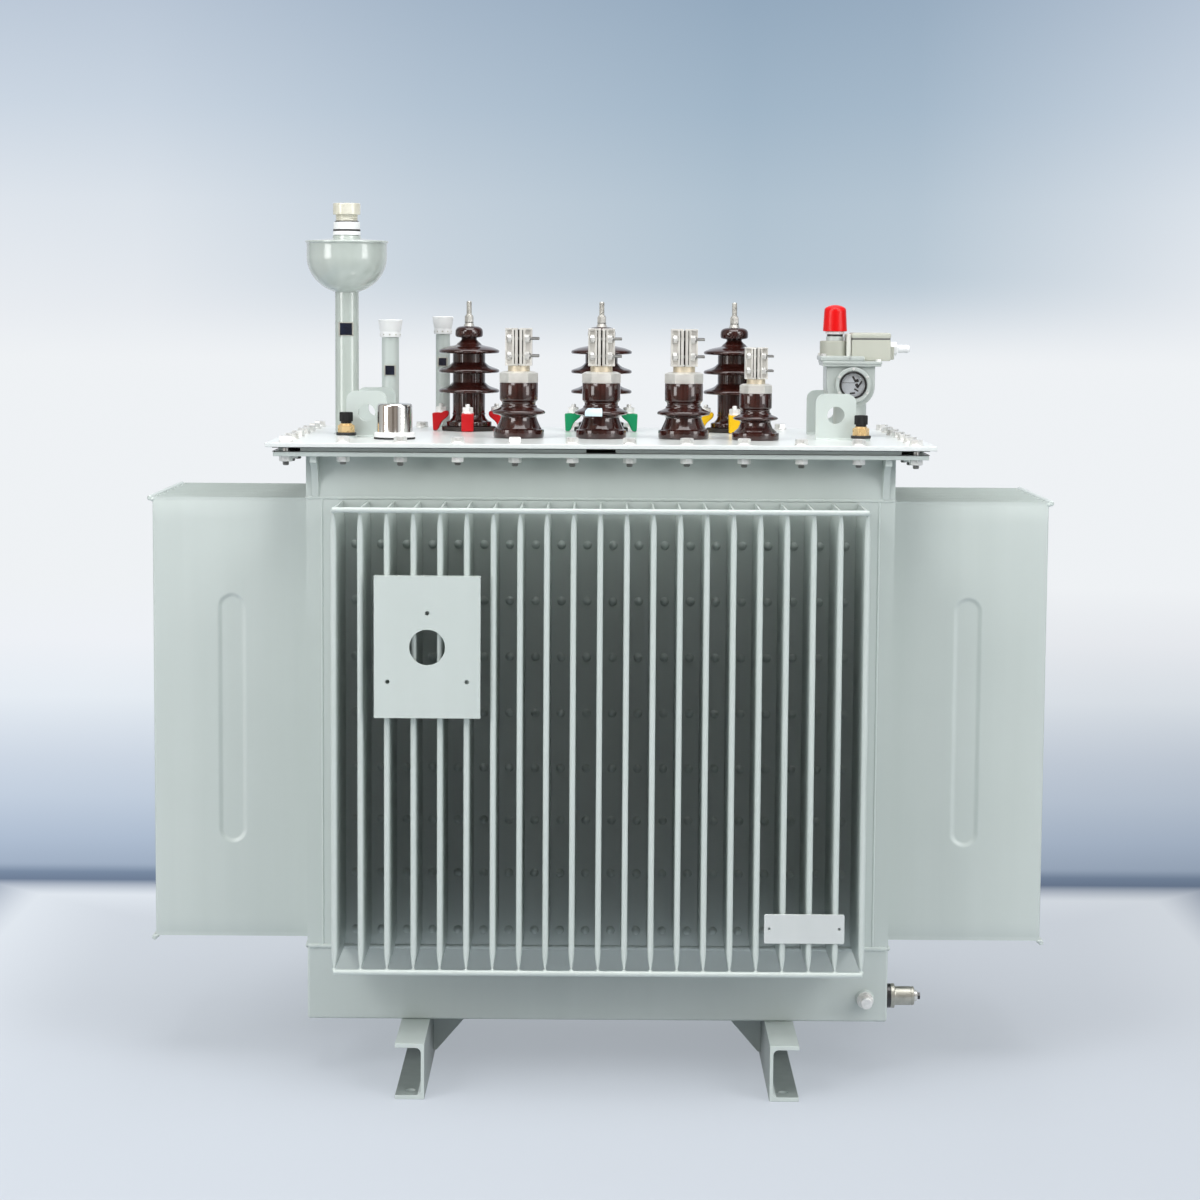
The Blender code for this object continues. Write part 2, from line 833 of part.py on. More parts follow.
def hv_clamp(name, foot):
    """A washer under the flange, with fingers that reach over the flange."""
    ring = turned(
        name,
        [
            (hv_ring_radius, hv_ring_height),
            (hv_ring_radius, 0),
            (hv_ring_bore, 0),
            (hv_ring_bore, hv_ring_height),
        ],
        foot,
        round_sides,
        zinc_plate,
        None,
        True,
    )
    shoulder = hv_ring_height + hv_flange_height + seat_gap
    reach_in = hv_flange_radius - hv_finger_overlap
    outline = [
        (hv_ring_radius - fuse_depth, 0),
        (hv_finger_reach, 0),
        (hv_finger_reach, hv_finger_height),
        (reach_in + hv_finger_overlap, hv_finger_height),
        (reach_in, shoulder + hv_finger_arm / 2),
        (reach_in, shoulder + fuse_depth),
        (hv_flange_radius + seat_gap, shoulder),
        (hv_ring_radius + seat_gap, hv_ring_height),
        (hv_ring_radius - fuse_depth, hv_ring_height),
    ]
    nut_bottom = hv_finger_height - fuse_depth
    for step in range(hv_fingers):
        turn = Matrix.Rotation(2 * half_turn * step / hv_fingers, 4, 'Z')
        finger = flat_piece(
            'clamp finger',
            [outline],
            hv_finger_width,
            None,
            Matrix.Translation(foot) @ turn @ facing_front,
        )
        join(ring, finger)
        nut_foot = foot + turn @ Vector((hv_clamp_nut_place, 0, nut_bottom))
        nut = cylinder(
            'clamp nut',
            hv_clamp_nut_flats / 2 / math.cos(hexagon_half_angle),
            hv_clamp_nut_top - nut_bottom,
            nut_foot,
            hexagon_sides,
        )
        join(ring, nut)
        stud = cylinder(
            'clamp stud', hv_clamp_stud_radius, hv_clamp_stud_top - nut_bottom, nut_foot, rod_sides
        )
        join(ring, stud)
    return ring


for letter, place in (('a', -hv_spacing), ('b', 0), ('c', hv_spacing)):
    foot = Vector((place, hv_row, seat))
    hv_clamp('hv_clamp_ring_' + letter, foot)
    turned('hv_bushing_' + letter, hv_outline(), foot, round_sides, brown_glaze)
    stud_outline = [
        (0, hv_stud_length),
        (hv_stud_radius, hv_stud_length),
        (hv_stud_radius, hv_stud_collar_height),
        (hv_stud_collar, hv_stud_collar_height / 2),
        (hv_stud_collar, 0),
        (0, 0),
    ]
    stud_foot = foot + Vector((0, 0, hv_top() + seat_gap))
    stud = turned('hv_stud_' + letter, stud_outline, stud_foot, small_sides, zinc_plate)
    nut = cylinder(
        'terminal nut',
        hv_nut_flats / 2 / math.cos(hexagon_half_angle),
        hv_nut_height + fuse_depth,
        stud_foot + Vector((0, 0, hv_stud_collar_height - fuse_depth)),
        hexagon_sides,
    )
    join(stud, nut)


# Low-voltage bushings, each with a hexagon nut and a two-part clamp on top

def lv_outline(share):
    outline = [
        (0, lv_neck_height + lv_drum_height + lv_shed_edge),
        (lv_drum_radius, lv_neck_height + lv_drum_height + lv_shed_edge),
        (lv_drum_radius, lv_neck_height + lv_shed_edge),
        (lv_neck_radius, lv_neck_height),
        (lv_neck_radius, lv_shed_height + lv_shed_slope),
        (lv_shed_radius, lv_shed_height + lv_shed_edge),
        (lv_shed_radius, lv_shed_height),
        (lv_waist_radius, lv_shed_height - lv_shed_edge),
        (lv_waist_radius, lv_waist_bottom),
        (lv_base_radius, lv_base_height),
        (lv_base_radius, lv_base_chamfer),
        (lv_base_foot, 0),
        (0, 0),
    ]
    return [(radius * share, height * share) for radius, height in outline]


def lv_terminal(name, foot, share):
    """Hexagon nut, collar and a clamp whose two halves are drawn together by bolts."""
    nut_radius = lv_nut_flats / 2 / math.cos(hexagon_half_angle)
    piece = cylinder(name, nut_radius * share, lv_nut_height * share, foot, hexagon_sides, tinned_brass)
    clamp_bottom = lv_nut_height + lv_collar_height

    def local(across, back, up):
        return foot + Vector((across, back, up)) * share

    collar_length = lv_collar_height + 2 * fuse_depth
    collar = cylinder(
        'clamp collar',
        lv_collar_radius * share,
        collar_length * share,
        local(0, 0, lv_nut_height - fuse_depth),
        small_sides,
    )
    join(piece, collar)
    cheek = block(
        'clamp cheeks',
        (lv_clamp_width * share, lv_clamp_depth * share, lv_clamp_height * share),
        local(0, 0, clamp_bottom + lv_clamp_height / 2),
    )
    join(piece, cheek)
    rib = block(
        'clamp ribs',
        (
            (2 * lv_clamp_rib + lv_clamp_slot) * share,
            (lv_clamp_depth + 2 * lv_clamp_rib_stand) * share,
            (lv_clamp_height - fuse_depth) * share,
        ),
        local(0, 0, clamp_bottom + lv_clamp_height / 2),
    )
    join(piece, rib)
    slot = block(
        'clamp slot',
        (
            lv_clamp_slot * share,
            (lv_clamp_depth + 2 * lv_clamp_rib_stand + 2 * cut_overrun) * share,
            lv_clamp_height * share,
        ),
        local(0, 0, clamp_bottom + lv_clamp_height / 2 + lv_clamp_floor),
    )
    cut(piece, slot)
    for height in (lv_bolt_end, lv_clamp_height - lv_bolt_end):
        bolt = cylinder(
            'clamp bolt',
            lv_bolt_radius * share,
            (lv_clamp_width / 2 + lv_bolt_reach - lv_clamp_slot) * share,
            local(lv_clamp_slot, 0, clamp_bottom + height),
            hexagon_sides,
            None,
            Matrix.Rotation(quarter_turn, 4, 'Y'),
        )
        join(piece, bolt)
    return piece


lv_places = (
    ('a', -lv_spacing, -lv_row, 1),
    ('b', 0, -lv_row, 1),
    ('c', lv_spacing, -lv_row, 1),
    ('neutral', neutral_place, -neutral_row, neutral_share),
)
for letter, across, back, share in lv_places:
    foot = Vector((across, back, seat))
    outline = lv_outline(share)
    turned('lv_bushing_' + letter, outline, foot, round_sides, brown_glaze)
    lv_terminal('lv_terminal_' + letter, foot + Vector((0, 0, outline[0][1] + seat_gap)), share)


# Lifting lugs welded upright on the cover

for row, back in (('front', -1), ('back', 1)):
    for side, hand in (('left', -1), ('right', 1)):
        flat_piece(
            'lifting_lug_' + row + '_' + side,
            [
                rounded_box(lug_width, 0, lug_height, lug_corner, corner_steps),
                circle((0, lug_hole_height), lug_hole_radius, round_sides),
            ],
            lug_thickness,
            tank_paint,
            Matrix.Translation((hand * (cover_half_width - lug_inset), back * lug_gauge / 2, seat))
            @ facing_front,
        )


# Expansion bowl on its pipe, with a breather on the lid

bowl_foot = Vector((-cover_half_width + bowl_inset, 0, seat))
bowl_rim = bowl_pipe_height + bowl_height
bowl_round = bowl_height - bowl_straight
bowl_start = math.acos(bowl_pipe_radius / bowl_radius)
bowl_depth = bowl_round / math.sin(bowl_start)
bowl_outline = [
    (0, bowl_rim + bowl_rim_height + bowl_lid_height),
    (bowl_lid_radius, bowl_rim + bowl_rim_height + bowl_lid_height),
    (bowl_lid_radius, bowl_rim + 2 * bowl_rim_height),
    (bowl_radius + bowl_rim_width, bowl_rim + bowl_rim_height),
    (bowl_radius + bowl_rim_width, bowl_rim),
    (bowl_radius, bowl_rim - bowl_rim_height),
]
for step in range(bowl_steps + 1):
    angle = bowl_start * step / bowl_steps
    bowl_outline.append(
        (bowl_radius * math.cos(angle), bowl_rim - bowl_straight - bowl_depth * math.sin(angle))
    )
bowl_outline += [(bowl_pipe_radius, 0), (0, 0)]
bowl = turned('expansion_bowl', bowl_outline, bowl_foot, wide_sides, tank_paint)


def sight(body, foot, radius, width, height, place):
    """Sink the seat of a small sight glass into the front of a tube."""
    glass_seat = block(
        'sight seat',
        (width, sight_depth + cut_overrun, height),
        foot + Vector((0, -radius + (sight_depth - cut_overrun) / 2, place)),
    )
    cut(body, glass_seat)


sight(bowl, bowl_foot, bowl_pipe_radius, sight_width_bowl, sight_height_bowl, sight_place_bowl)
lid_top = bowl_rim + bowl_rim_height + bowl_lid_height
turned(
    'breather_cap',
    [
        (0, breather_height),
        (breather_radius * breather_lip_share, breather_height),
        (breather_radius, breather_height * breather_shoulder_share),
        (breather_radius, breather_height * breather_groove_shares[0]),
        (breather_radius * breather_waist_share, breather_height * breather_groove_shares[1]),
        (breather_radius * breather_waist_share, breather_height * breather_groove_shares[2]),
        (breather_radius, breather_height * breather_groove_shares[3]),
        (breather_radius, 0),
        (0, 0),
    ],
    bowl_foot + Vector((0, 0, lid_top + seat_gap)),
    round_sides,
    clear_plastic,
)


# Oil gauge tubes with flared white caps

def oil_gauge(letter, inset, back, radius, height, sight_place):
    foot = Vector((-cover_half_width + inset, cover_half_depth - back, seat))
    tube = cylinder('oil_gauge_tube_' + letter, radius, height, foot, round_sides, tank_paint)
    glass_size = radius * gauge_sight_share
    sight(tube, foot, radius, glass_size, glass_size, sight_place)
    collar = radius + gauge_cap_wall
    outline = [
        (0, gauge_cap_height),
        (radius + gauge_cap_flare, gauge_cap_height),
        (collar, gauge_cap_collar),
        (collar, 0),
        (0, 0),
    ]
    cap_foot = foot + Vector((0, 0, height + seat_gap))
    turned('oil_gauge_cap_' + letter, outline, cap_foot, round_sides, white_plastic)


oil_gauge('a', gauge_inset_a, gauge_back_a, gauge_radius_a, gauge_height_a, gauge_sight_a)
oil_gauge('b', gauge_inset_b, gauge_back_b, gauge_radius_b, gauge_height_b, gauge_sight_b)


# Tap changer cap on its base, and the two vent plugs

tap_foot = Vector((-cover_half_width + tap_inset, tap_place, seat))
turned(
    'tap_changer_cap',
    [
        (0, tap_base_height + tap_height),
        (tap_radius - fuse_depth, tap_base_height + tap_height),
        (tap_radius, tap_base_height + tap_height - fuse_depth),
        (tap_radius, tap_base_height),
        (tap_base_radius, tap_base_height),
        (tap_base_radius, 0),
        (0, 0),
    ],
    tap_foot,
    wide_sides,
    polished_steel,
)


def vent_plug(name, across):
    """A brass hexagon on a washer with a knurled black cap."""
    foot = Vector((across, vent_place, seat))
    washer = cylinder(name, vent_washer_radius, vent_washer_height, foot, small_sides, yellow_brass)
    corner = vent_hex_flats / 2 / math.cos(hexagon_half_angle)
    hexagon = cylinder(
        'vent hexagon',
        corner,
        vent_hex_height + fuse_depth,
        foot + Vector((0, 0, vent_washer_height - fuse_depth)),
        hexagon_sides,
    )
    join(washer, hexagon)
    cap = cylinder(
        'vent cap',
        vent_cap_radius,
        vent_cap_height + fuse_depth,
        foot + Vector((0, 0, vent_washer_height + vent_hex_height - fuse_depth)),
        small_sides,
    )
    join(washer, cap)


vent_plug('vent_plug_left', -cover_half_width + vent_inset_left)
vent_plug('vent_plug_right', cover_half_width - vent_inset_right)


# Protection relay: a cast body on a pipe neck, a terminal box and a red cap on a stem

relay_foot = Vector((cover_half_width - relay_inset, relay_row, seat))
relay_bottom = relay_neck_height
relay_top = relay_bottom + relay_height
relay = flat_piece(
    'relay_body',
    [
        arc((relay_width / 2 - relay_corner, relay_bottom + relay_corner), relay_corner,
            -quarter_turn, 0, corner_steps)
        + [(relay_width / 2, relay_top), (-relay_width / 2, relay_top)]
        + arc((-relay_width / 2 + relay_corner, relay_bottom + relay_corner), relay_corner,
              half_turn, half_turn + quarter_turn, corner_steps)
    ],
    relay_depth,
    tank_paint,
    Matrix.Translation(relay_foot) @ facing_front,
)
relay_neck = cylinder(
    'relay neck', relay_neck_radius, relay_neck_height + fuse_depth, relay_foot, round_sides
)
join(relay, relay_neck)
relay_flange = block(
    'relay flange',
    (relay_flange_width, relay_flange_depth, relay_flange_height + fuse_depth),
    relay_foot + Vector((0, 0, relay_top + (relay_flange_height - fuse_depth) / 2)),
)
join(relay, relay_flange)
relay_deck = relay_top + relay_flange_height
relay_plate = block(
    'relay drum plate',
    (relay_plate_left + relay_plate_right, relay_plate_depth, relay_plate_height + fuse_depth),
    relay_foot
    + Vector(((relay_plate_right - relay_plate_left) / 2, 0, relay_deck + (relay_plate_height - fuse_depth) / 2)),
)
join(relay, relay_plate)
drum_foot = relay_deck + relay_plate_height
relay_drum = cylinder(
    'relay drum',
    relay_drum_radius,
    relay_drum_height + fuse_depth,
    relay_foot + Vector((-relay_drum_offset, 0, drum_foot - fuse_depth)),
    round_sides,
)
join(relay, relay_drum)
for face, turn in ((-1, quarter_turn), (1, -quarter_turn)):
    lens_middle = Vector((relay_window_offset, face * (relay_depth / 2 - fuse_depth), 0))
    lens_height = Vector((0, 0, relay_window_height + relay_bottom))
    bezel = cylinder(
        'relay bezel',
        relay_window_radius,
        relay_window_stand + fuse_depth,
        relay_foot + lens_middle + lens_height,
        wide_sides,
        None,
        Matrix.Rotation(turn, 4, 'X'),
    )
    join(relay, bezel)
    lens_middle.y = face * (relay_depth / 2 + relay_window_stand - relay_window_sink)
    lens = cylinder(
        'relay lens seat',
        relay_window_bore,
        relay_window_sink + cut_overrun,
        relay_foot + lens_middle + lens_height,
        wide_sides,
        None,
        Matrix.Rotation(turn, 4, 'X'),
    )
    cut(relay, lens)

box_left = relay_box_offset
box_middle = box_left + relay_box_width / 2
box_bottom = relay_deck + seat_gap
terminal_box = block(
    'relay_terminal_box',
    (relay_box_width, relay_box_depth, relay_box_height),
    relay_foot + Vector((box_middle, 0, box_bottom + relay_box_height / 2)),
    beige_plastic,
)
gland = cylinder(
    'cable gland',
    relay_gland_radius,
    relay_gland_reach + fuse_depth,
    relay_foot + Vector((box_left + relay_box_width - fuse_depth, 0, box_bottom + relay_gland_height)),
    small_sides,
    None,
    Matrix.Rotation(quarter_turn, 4, 'Y'),
)
join(terminal_box, gland)

cap_foot = relay_foot + Vector((-relay_drum_offset, 0, drum_foot + relay_drum_height + seat_gap))
turned(
    'relay_red_cap',
    [
        (0, red_cap_stem_height + red_cap_height),
        (red_cap_top * red_cap_crown_share, red_cap_stem_height + red_cap_height),
        (red_cap_top, red_cap_stem_height + red_cap_height * red_cap_shoulder_share),
        (red_cap_radius, red_cap_stem_height),
        (red_cap_stem, red_cap_stem_height),
        (red_cap_stem, 0),
        (0, 0),
    ],
    cap_foot,
    round_sides,
    red_plastic,
)


# Thermometer plate: a folded sheet whose returns rest on the noses of the front fins

thermo_top = wall_top - thermo_drop
thermo_bottom = thermo_top - thermo_height
thermo_back = -nose_front - seat_gap
thermo_front = thermo_back - thermo_return
thermo_profile = [
    (thermo_front, thermo_bottom),
    (thermo_back, thermo_bottom),
    (thermo_back, thermo_bottom + thermo_sheet),
    (thermo_front + thermo_sheet, thermo_bottom + thermo_sheet),
    (thermo_front + thermo_sheet, thermo_top - thermo_sheet),
    (thermo_back, thermo_top - thermo_sheet),
    (thermo_back, thermo_top),
    (thermo_front, thermo_top),
]
thermo = flat_piece(
    'thermometer_plate',
    [thermo_profile],
    thermo_width,
    tank_paint,
    Matrix.Translation((-thermo_centre, 0, 0)) @ facing_side,
)
thermo_middle = (thermo_top + thermo_bottom) / 2
thermo_holes = (
    (0, 0, thermo_hole_radius, wide_sides),
    (0, thermo_screw_top, thermo_screw_radius, rod_sides),
    (-thermo_screw_side, -thermo_screw_low, thermo_screw_radius, rod_sides),
    (thermo_screw_side, -thermo_screw_low, thermo_screw_radius, rod_sides),
)
for across, up, radius, sides in thermo_holes:
    hole = cylinder(
        'thermometer hole',
        radius,
        thermo_sheet + 2 * cut_overrun,
        (-thermo_centre + across, thermo_front + thermo_sheet + cut_overrun, thermo_middle + up),
        sides,
        None,
        Matrix.Rotation(quarter_turn, 4, 'X'),
    )
    cut(thermo, hole)


# Blank nameplate on the noses of the front fins

nameplate_hole = nameplate_width / 2 - nameplate_hole_edge
flat_piece(
    'nameplate',
    [
        rounded_box(nameplate_width, 0, nameplate_height, nameplate_sheet, 1, True),
        circle((-nameplate_hole, nameplate_height / 2), nameplate_hole_radius, rod_sides),
        circle((nameplate_hole, nameplate_height / 2), nameplate_hole_radius, rod_sides),
    ],
    nameplate_sheet,
    zinc_plate,
    Matrix.Translation(
        (nameplate_centre, -nose_front - seat_gap - nameplate_sheet / 2, wall_bottom + nameplate_rise)
    )
    @ facing_front,
)


# Drain valve on the right side of the trough and earth bolt on its front

drain_plug = drain_flange_length + drain_body_length
turned(
    'drain_valve',
    [
        (0, drain_plug + drain_plug_length),
        (drain_plug_radius, drain_plug + drain_plug_length),
        (drain_plug_radius, drain_plug),
        (drain_body_radius, drain_plug),
        (drain_body_radius, drain_flange_length),
        (drain_flange_radius, drain_flange_length),
        (drain_flange_radius, 0),
        (0, 0),
    ],
    (half_width + seat_gap, -half_depth + drain_front, trough_bottom + drain_height),
    round_sides,
    dark_steel,
    Matrix.Rotation(quarter_turn, 4, 'Y'),
)
earth_foot = Vector((half_width - earth_inset, -half_depth - seat_gap, trough_bottom + earth_height))
toward_front = Matrix.Rotation(quarter_turn, 4, 'X')
earth = cylinder(
    'earth_bolt', earth_boss_radius, earth_boss_length, earth_foot, round_sides, zinc_plate, toward_front
)
earth_nut = cylinder(
    'earth nut',
    earth_nut_flats / 2 / math.cos(hexagon_half_angle),
    earth_nut_length + fuse_depth,
    earth_foot - Vector((0, earth_boss_length - fuse_depth, 0)),
    hexagon_sides,
    None,
    toward_front,
)
join(earth, earth_nut)
earth_stud = cylinder(
    'earth stud',
    earth_stud_radius,
    earth_stud_length + fuse_depth,
    earth_foot - Vector((0, earth_boss_length + earth_nut_length - fuse_depth, 0)),
    small_sides,
    None,
    toward_front,
)
join(earth, earth_stud)


# The frame's origin lies under the middle of the whole part's footprint, which the folded plate
# in front makes a little deeper than the tank and its fins
footprint_shift = (thermo_return - rod_diameter) / 2
ground_frame = bpy.data.objects.new('ground frame', None)
bpy.context.scene.collection.objects.link(ground_frame)
ground_frame.location = (0, footprint_shift, 0)
for piece in list(parts.objects) + list(cutters.objects):
    piece.parent = ground_frame
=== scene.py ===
import math
import random

import bmesh
import bpy
from mathutils import Matrix, Vector


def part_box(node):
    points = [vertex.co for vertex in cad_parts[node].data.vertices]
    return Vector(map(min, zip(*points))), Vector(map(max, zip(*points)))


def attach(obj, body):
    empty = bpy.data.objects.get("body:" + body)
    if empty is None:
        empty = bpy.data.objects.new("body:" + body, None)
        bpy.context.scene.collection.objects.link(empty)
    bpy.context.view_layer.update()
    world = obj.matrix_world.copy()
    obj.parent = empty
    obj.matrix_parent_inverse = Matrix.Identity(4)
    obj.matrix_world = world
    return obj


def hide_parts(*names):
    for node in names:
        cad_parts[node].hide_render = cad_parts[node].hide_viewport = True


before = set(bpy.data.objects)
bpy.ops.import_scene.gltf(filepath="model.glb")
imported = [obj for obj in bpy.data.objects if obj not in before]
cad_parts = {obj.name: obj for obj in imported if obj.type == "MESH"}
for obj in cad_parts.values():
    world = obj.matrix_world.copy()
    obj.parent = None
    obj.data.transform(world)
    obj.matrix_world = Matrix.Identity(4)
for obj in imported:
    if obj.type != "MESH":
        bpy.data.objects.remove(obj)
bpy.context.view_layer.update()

# Studio: a pale floor and a blue-grey backdrop that pales toward the horizon, with four large soft
# lamps above and two low ones at the sides. The camera stands where the photograph was taken, in
# front of the tank at about the height of the bushings' middle.

tank_low, tank_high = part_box('bottom_frame')
middle = (tank_low + tank_high) / 2

camera_lens = bpy.data.cameras.new('studio camera')
camera_lens.lens = 89.1
camera_lens.sensor_width = 36
camera = bpy.data.objects.new('studio camera', camera_lens)
camera_tilt = Matrix.Rotation(math.radians(90 - 5.77), 4, 'X')
camera_roll = Matrix.Rotation(math.radians(0.37), 4, 'Z')
camera_place = Matrix.Translation((0, middle.y - 5.572, 1.400))
camera.matrix_world = camera_place @ camera_tilt @ camera_roll
bpy.context.scene.collection.objects.link(camera)
bpy.context.scene.camera = camera
bpy.context.scene.view_settings.view_transform = 'Standard'


def softbox(name, place, aim, size, power, mirrored=True):
    """A large square lamp that points at a spot on the transformer."""
    lamp = bpy.data.lights.new(name, 'AREA')
    lamp.shape = 'SQUARE'
    lamp.size = size
    lamp.energy = power
    holder = bpy.data.objects.new(name, lamp)
    holder.location = place
    holder.rotation_euler = (Vector(aim) - Vector(place)).to_track_quat('-Z', 'Y').to_euler()
    holder.visible_glossy = mirrored
    bpy.context.scene.collection.objects.link(holder)


fins_middle = (0, 0, 0.7)
tank_middle = (0, 0, 0.8)
softbox('front left lamp', (-3.4, -4.4, 4.2), fins_middle, 2.4, 130)
softbox('front right lamp', (3.6, -4.1, 3.9), fins_middle, 2.4, 104)
softbox('low left lamp', (-4.5, -3.3, 1.8), tank_middle, 1.8, 57)
softbox('low right lamp', (4.5, -3.2, 1.7), tank_middle, 1.8, 44)
softbox('overhead lamp', (0.1, -1.2, 4.8), (0, -0.1, 1.0), 3.2, 140)
softbox('back lamp', (0.6, 5.0, 3.4), (0, 0, 0.9), 2.6, 80, mirrored=False)


def fed(tree, node, inputs):
    """Give a shader node its inputs: each is a plain value or the socket that feeds it."""
    for label, value in inputs.items():
        if isinstance(value, bpy.types.NodeSocket):
            tree.links.new(value, node.inputs[label])
        else:
            node.inputs[label].default_value = value
    return node


def grown(tree, kind, inputs=None, **settings):
    """A new shader node with its settings and inputs."""
    node = tree.nodes.new('ShaderNode' + kind)
    for label, value in settings.items():
        setattr(node, label, value)
    return fed(tree, node, inputs or {})


def worked(tree, operation, one, two=0):
    """The result of one step of arithmetic on one or two values."""
    return grown(tree, 'Math', {0: one, 1: two}, operation=operation).outputs[0]


def stretched(tree, value, low, high, least=0, most=1, curve='LINEAR'):
    """A value carried over from one range to another and held within it."""
    return grown(tree, 'MapRange', {
        'Value': value, 'From Min': low, 'From Max': high, 'To Min': least, 'To Max': most,
    }, interpolation_type=curve).outputs['Result']


def graded(tree, share, stops):
    """A colour for a share of 0 to 1, from stops of share and colour."""
    ramp = grown(tree, 'ValToRGB', {'Fac': share})
    elements = ramp.color_ramp.elements
    for number, (place, colour) in enumerate(stops):
        if number in (0, len(stops) - 1):
            stop = elements[0] if number == 0 else elements[len(elements) - 1]
        else:
            stop = elements.new(place)
        stop.position = place
        stop.color = (*colour, 1)
    return ramp.outputs['Color']


def room_group():
    """What the room shows to a reflection, by its bearing: dark in front, pale walls behind."""
    group = bpy.data.node_groups.new('room in reflections', 'ShaderNodeTree')
    group.interface.new_socket('Direction', in_out='INPUT', socket_type='NodeSocketVector')
    group.interface.new_socket('Color', in_out='OUTPUT', socket_type='NodeSocketColor')
    given = group.nodes.new('NodeGroupInput')
    result = group.nodes.new('NodeGroupOutput')
    parts = grown(group, 'SeparateXYZ', {'Vector': given.outputs['Direction']})
    toward_front = worked(group, 'MULTIPLY', parts.outputs['Y'], -1)
    bearing = worked(group, 'ARCTAN2', parts.outputs['X'], toward_front)
    walls = [((degrees + 180) / 360, colour) for degrees, colour in (
        (-180, (0.72, 0.76, 0.82)), (-134, (0.60, 0.63, 0.67)), (-122, (0.10, 0.09, 0.08)),
        (-112, (0.46, 0.46, 0.45)), (-84, (0.58, 0.57, 0.55)), (-73, (0.50, 0.42, 0.35)),
        (-69, (0.16, 0.10, 0.07)), (-64, (0.46, 0.39, 0.33)), (-50, (0.50, 0.43, 0.37)),
        (-46, (0.20, 0.14, 0.10)), (-41, (0.42, 0.36, 0.31)), (-14, (0.34, 0.30, 0.27)),
        (-7, (0.12, 0.09, 0.07)), (0, (0.32, 0.28, 0.25)), (15, (0.34, 0.30, 0.27)),
        (21, (0.16, 0.12, 0.10)), (27, (0.60, 0.60, 0.60)), (34, (0.90, 0.91, 0.92)),
        (74, (0.88, 0.89, 0.90)), (81, (0.05, 0.05, 0.05)), (93, (0.04, 0.04, 0.04)),
        (100, (0.36, 0.37, 0.38)), (112, (0.14, 0.14, 0.15)), (124, (0.40, 0.42, 0.44)),
        (138, (0.62, 0.66, 0.70)), (180, (0.72, 0.76, 0.82)),
    )]
    wall_colour = graded(group, stretched(group, bearing, -math.pi, math.pi), walls)
    group.links.new(wall_colour, result.inputs['Color'])
    return group


room_shown = room_group()


def seen_directly(tree):
    """One where the eye, a reflection or a view through glass looks at the surface."""
    path = grown(tree, 'LightPath')
    bent = worked(tree, 'MAXIMUM', path.outputs['Is Glossy Ray'],
                  path.outputs['Is Transmission Ray'])
    return worked(tree, 'MAXIMUM', path.outputs['Is Camera Ray'], bent)


studio = bpy.data.worlds.new('studio air')
studio.use_nodes = True
bpy.context.scene.world = studio
air = studio.node_tree
air.nodes.clear()
air_direction = grown(air, 'TexCoord').outputs['Generated']
compass = grown(air, 'SeparateXYZ', {'Vector': air_direction})
even_light = grown(air, 'Background', {
    'Color': (0.96, 0.98, 1.0, 1.0),
    'Strength': stretched(air, compass.outputs['Y'], -0.95, -0.10, 0.08, 0.40, 'SMOOTHSTEP'),
})
sky = graded(air, stretched(air, compass.outputs['Z'], -0.02, 0.11), (
    (0.0, (0.86, 0.885, 0.91)), (0.13, (0.81, 0.84, 0.88)), (0.40, (0.73, 0.78, 0.84)),
    (0.64, (0.60, 0.675, 0.765)), (1.0, (0.47, 0.55, 0.66)),
))
shades = ((0.0, 1.0), (0.12, 0.98), (0.36, 0.81), (0.62, 0.69), (0.76, 0.72), (1.0, 0.97))
shade = graded(air, stretched(air, compass.outputs['X'], -0.2, 0.2), [
    (share, (tone - (1 - tone) * 0.3, tone, tone + (1 - tone) * 0.2)) for share, tone in shades
])
shaded_sky = grown(air, 'Mix', {
    'A': sky, 'B': shade,
    'Factor': stretched(air, compass.outputs['Z'], -0.023, 0.010, curve='SMOOTHSTEP'),
}, data_type='RGBA', blend_type='MULTIPLY')
backdrop = grown(air, 'Background', {'Color': shaded_sky.outputs['Result']})
either = grown(air, 'MixShader', {
    'Fac': seen_directly(air), 1: even_light.outputs[0], 2: backdrop.outputs[0],
})
room = grown(air, 'Group', {'Direction': air_direction}, node_tree=room_shown)
mirrored = grown(air, 'Background', {'Color': room.outputs['Color']})
whole = grown(air, 'MixShader', {
    'Fac': grown(air, 'LightPath').outputs['Is Glossy Ray'],
    1: either.outputs[0], 2: mirrored.outputs[0],
})
grown(air, 'OutputWorld', {'Surface': whole.outputs[0]})

floor_shape = bmesh.new()
bmesh.ops.create_circle(floor_shape, cap_ends=True, segments=96, radius=60)
floor_mesh = bpy.data.meshes.new('studio floor')
floor_shape.to_mesh(floor_mesh)
floor_shape.free()
floor = bpy.data.objects.new('studio floor', floor_mesh)
bpy.context.scene.collection.objects.link(floor)
floor_paint = bpy.data.materials.new('floor paint')
floor_paint.use_nodes = True
boards = floor_paint.node_tree
floor_shader = fed(boards, boards.nodes['Principled BSDF'], {
    'Base Color': (0.50, 0.53, 0.58, 1.0), 'Roughness': 0.75, 'Specular IOR Level': 0.2,
})
floor_spot = grown(boards, 'TexCoord').outputs['Object']
floor_compass = grown(boards, 'SeparateXYZ', {'Vector': floor_spot})
reach = worked(boards, 'MAXIMUM', *[
    worked(boards, 'ABSOLUTE', floor_compass.outputs[axis]) for axis in 'XY'
])
near_wall = 1.0
far_wall = 9.0
wall_share = stretched(boards, reach, near_wall, far_wall)
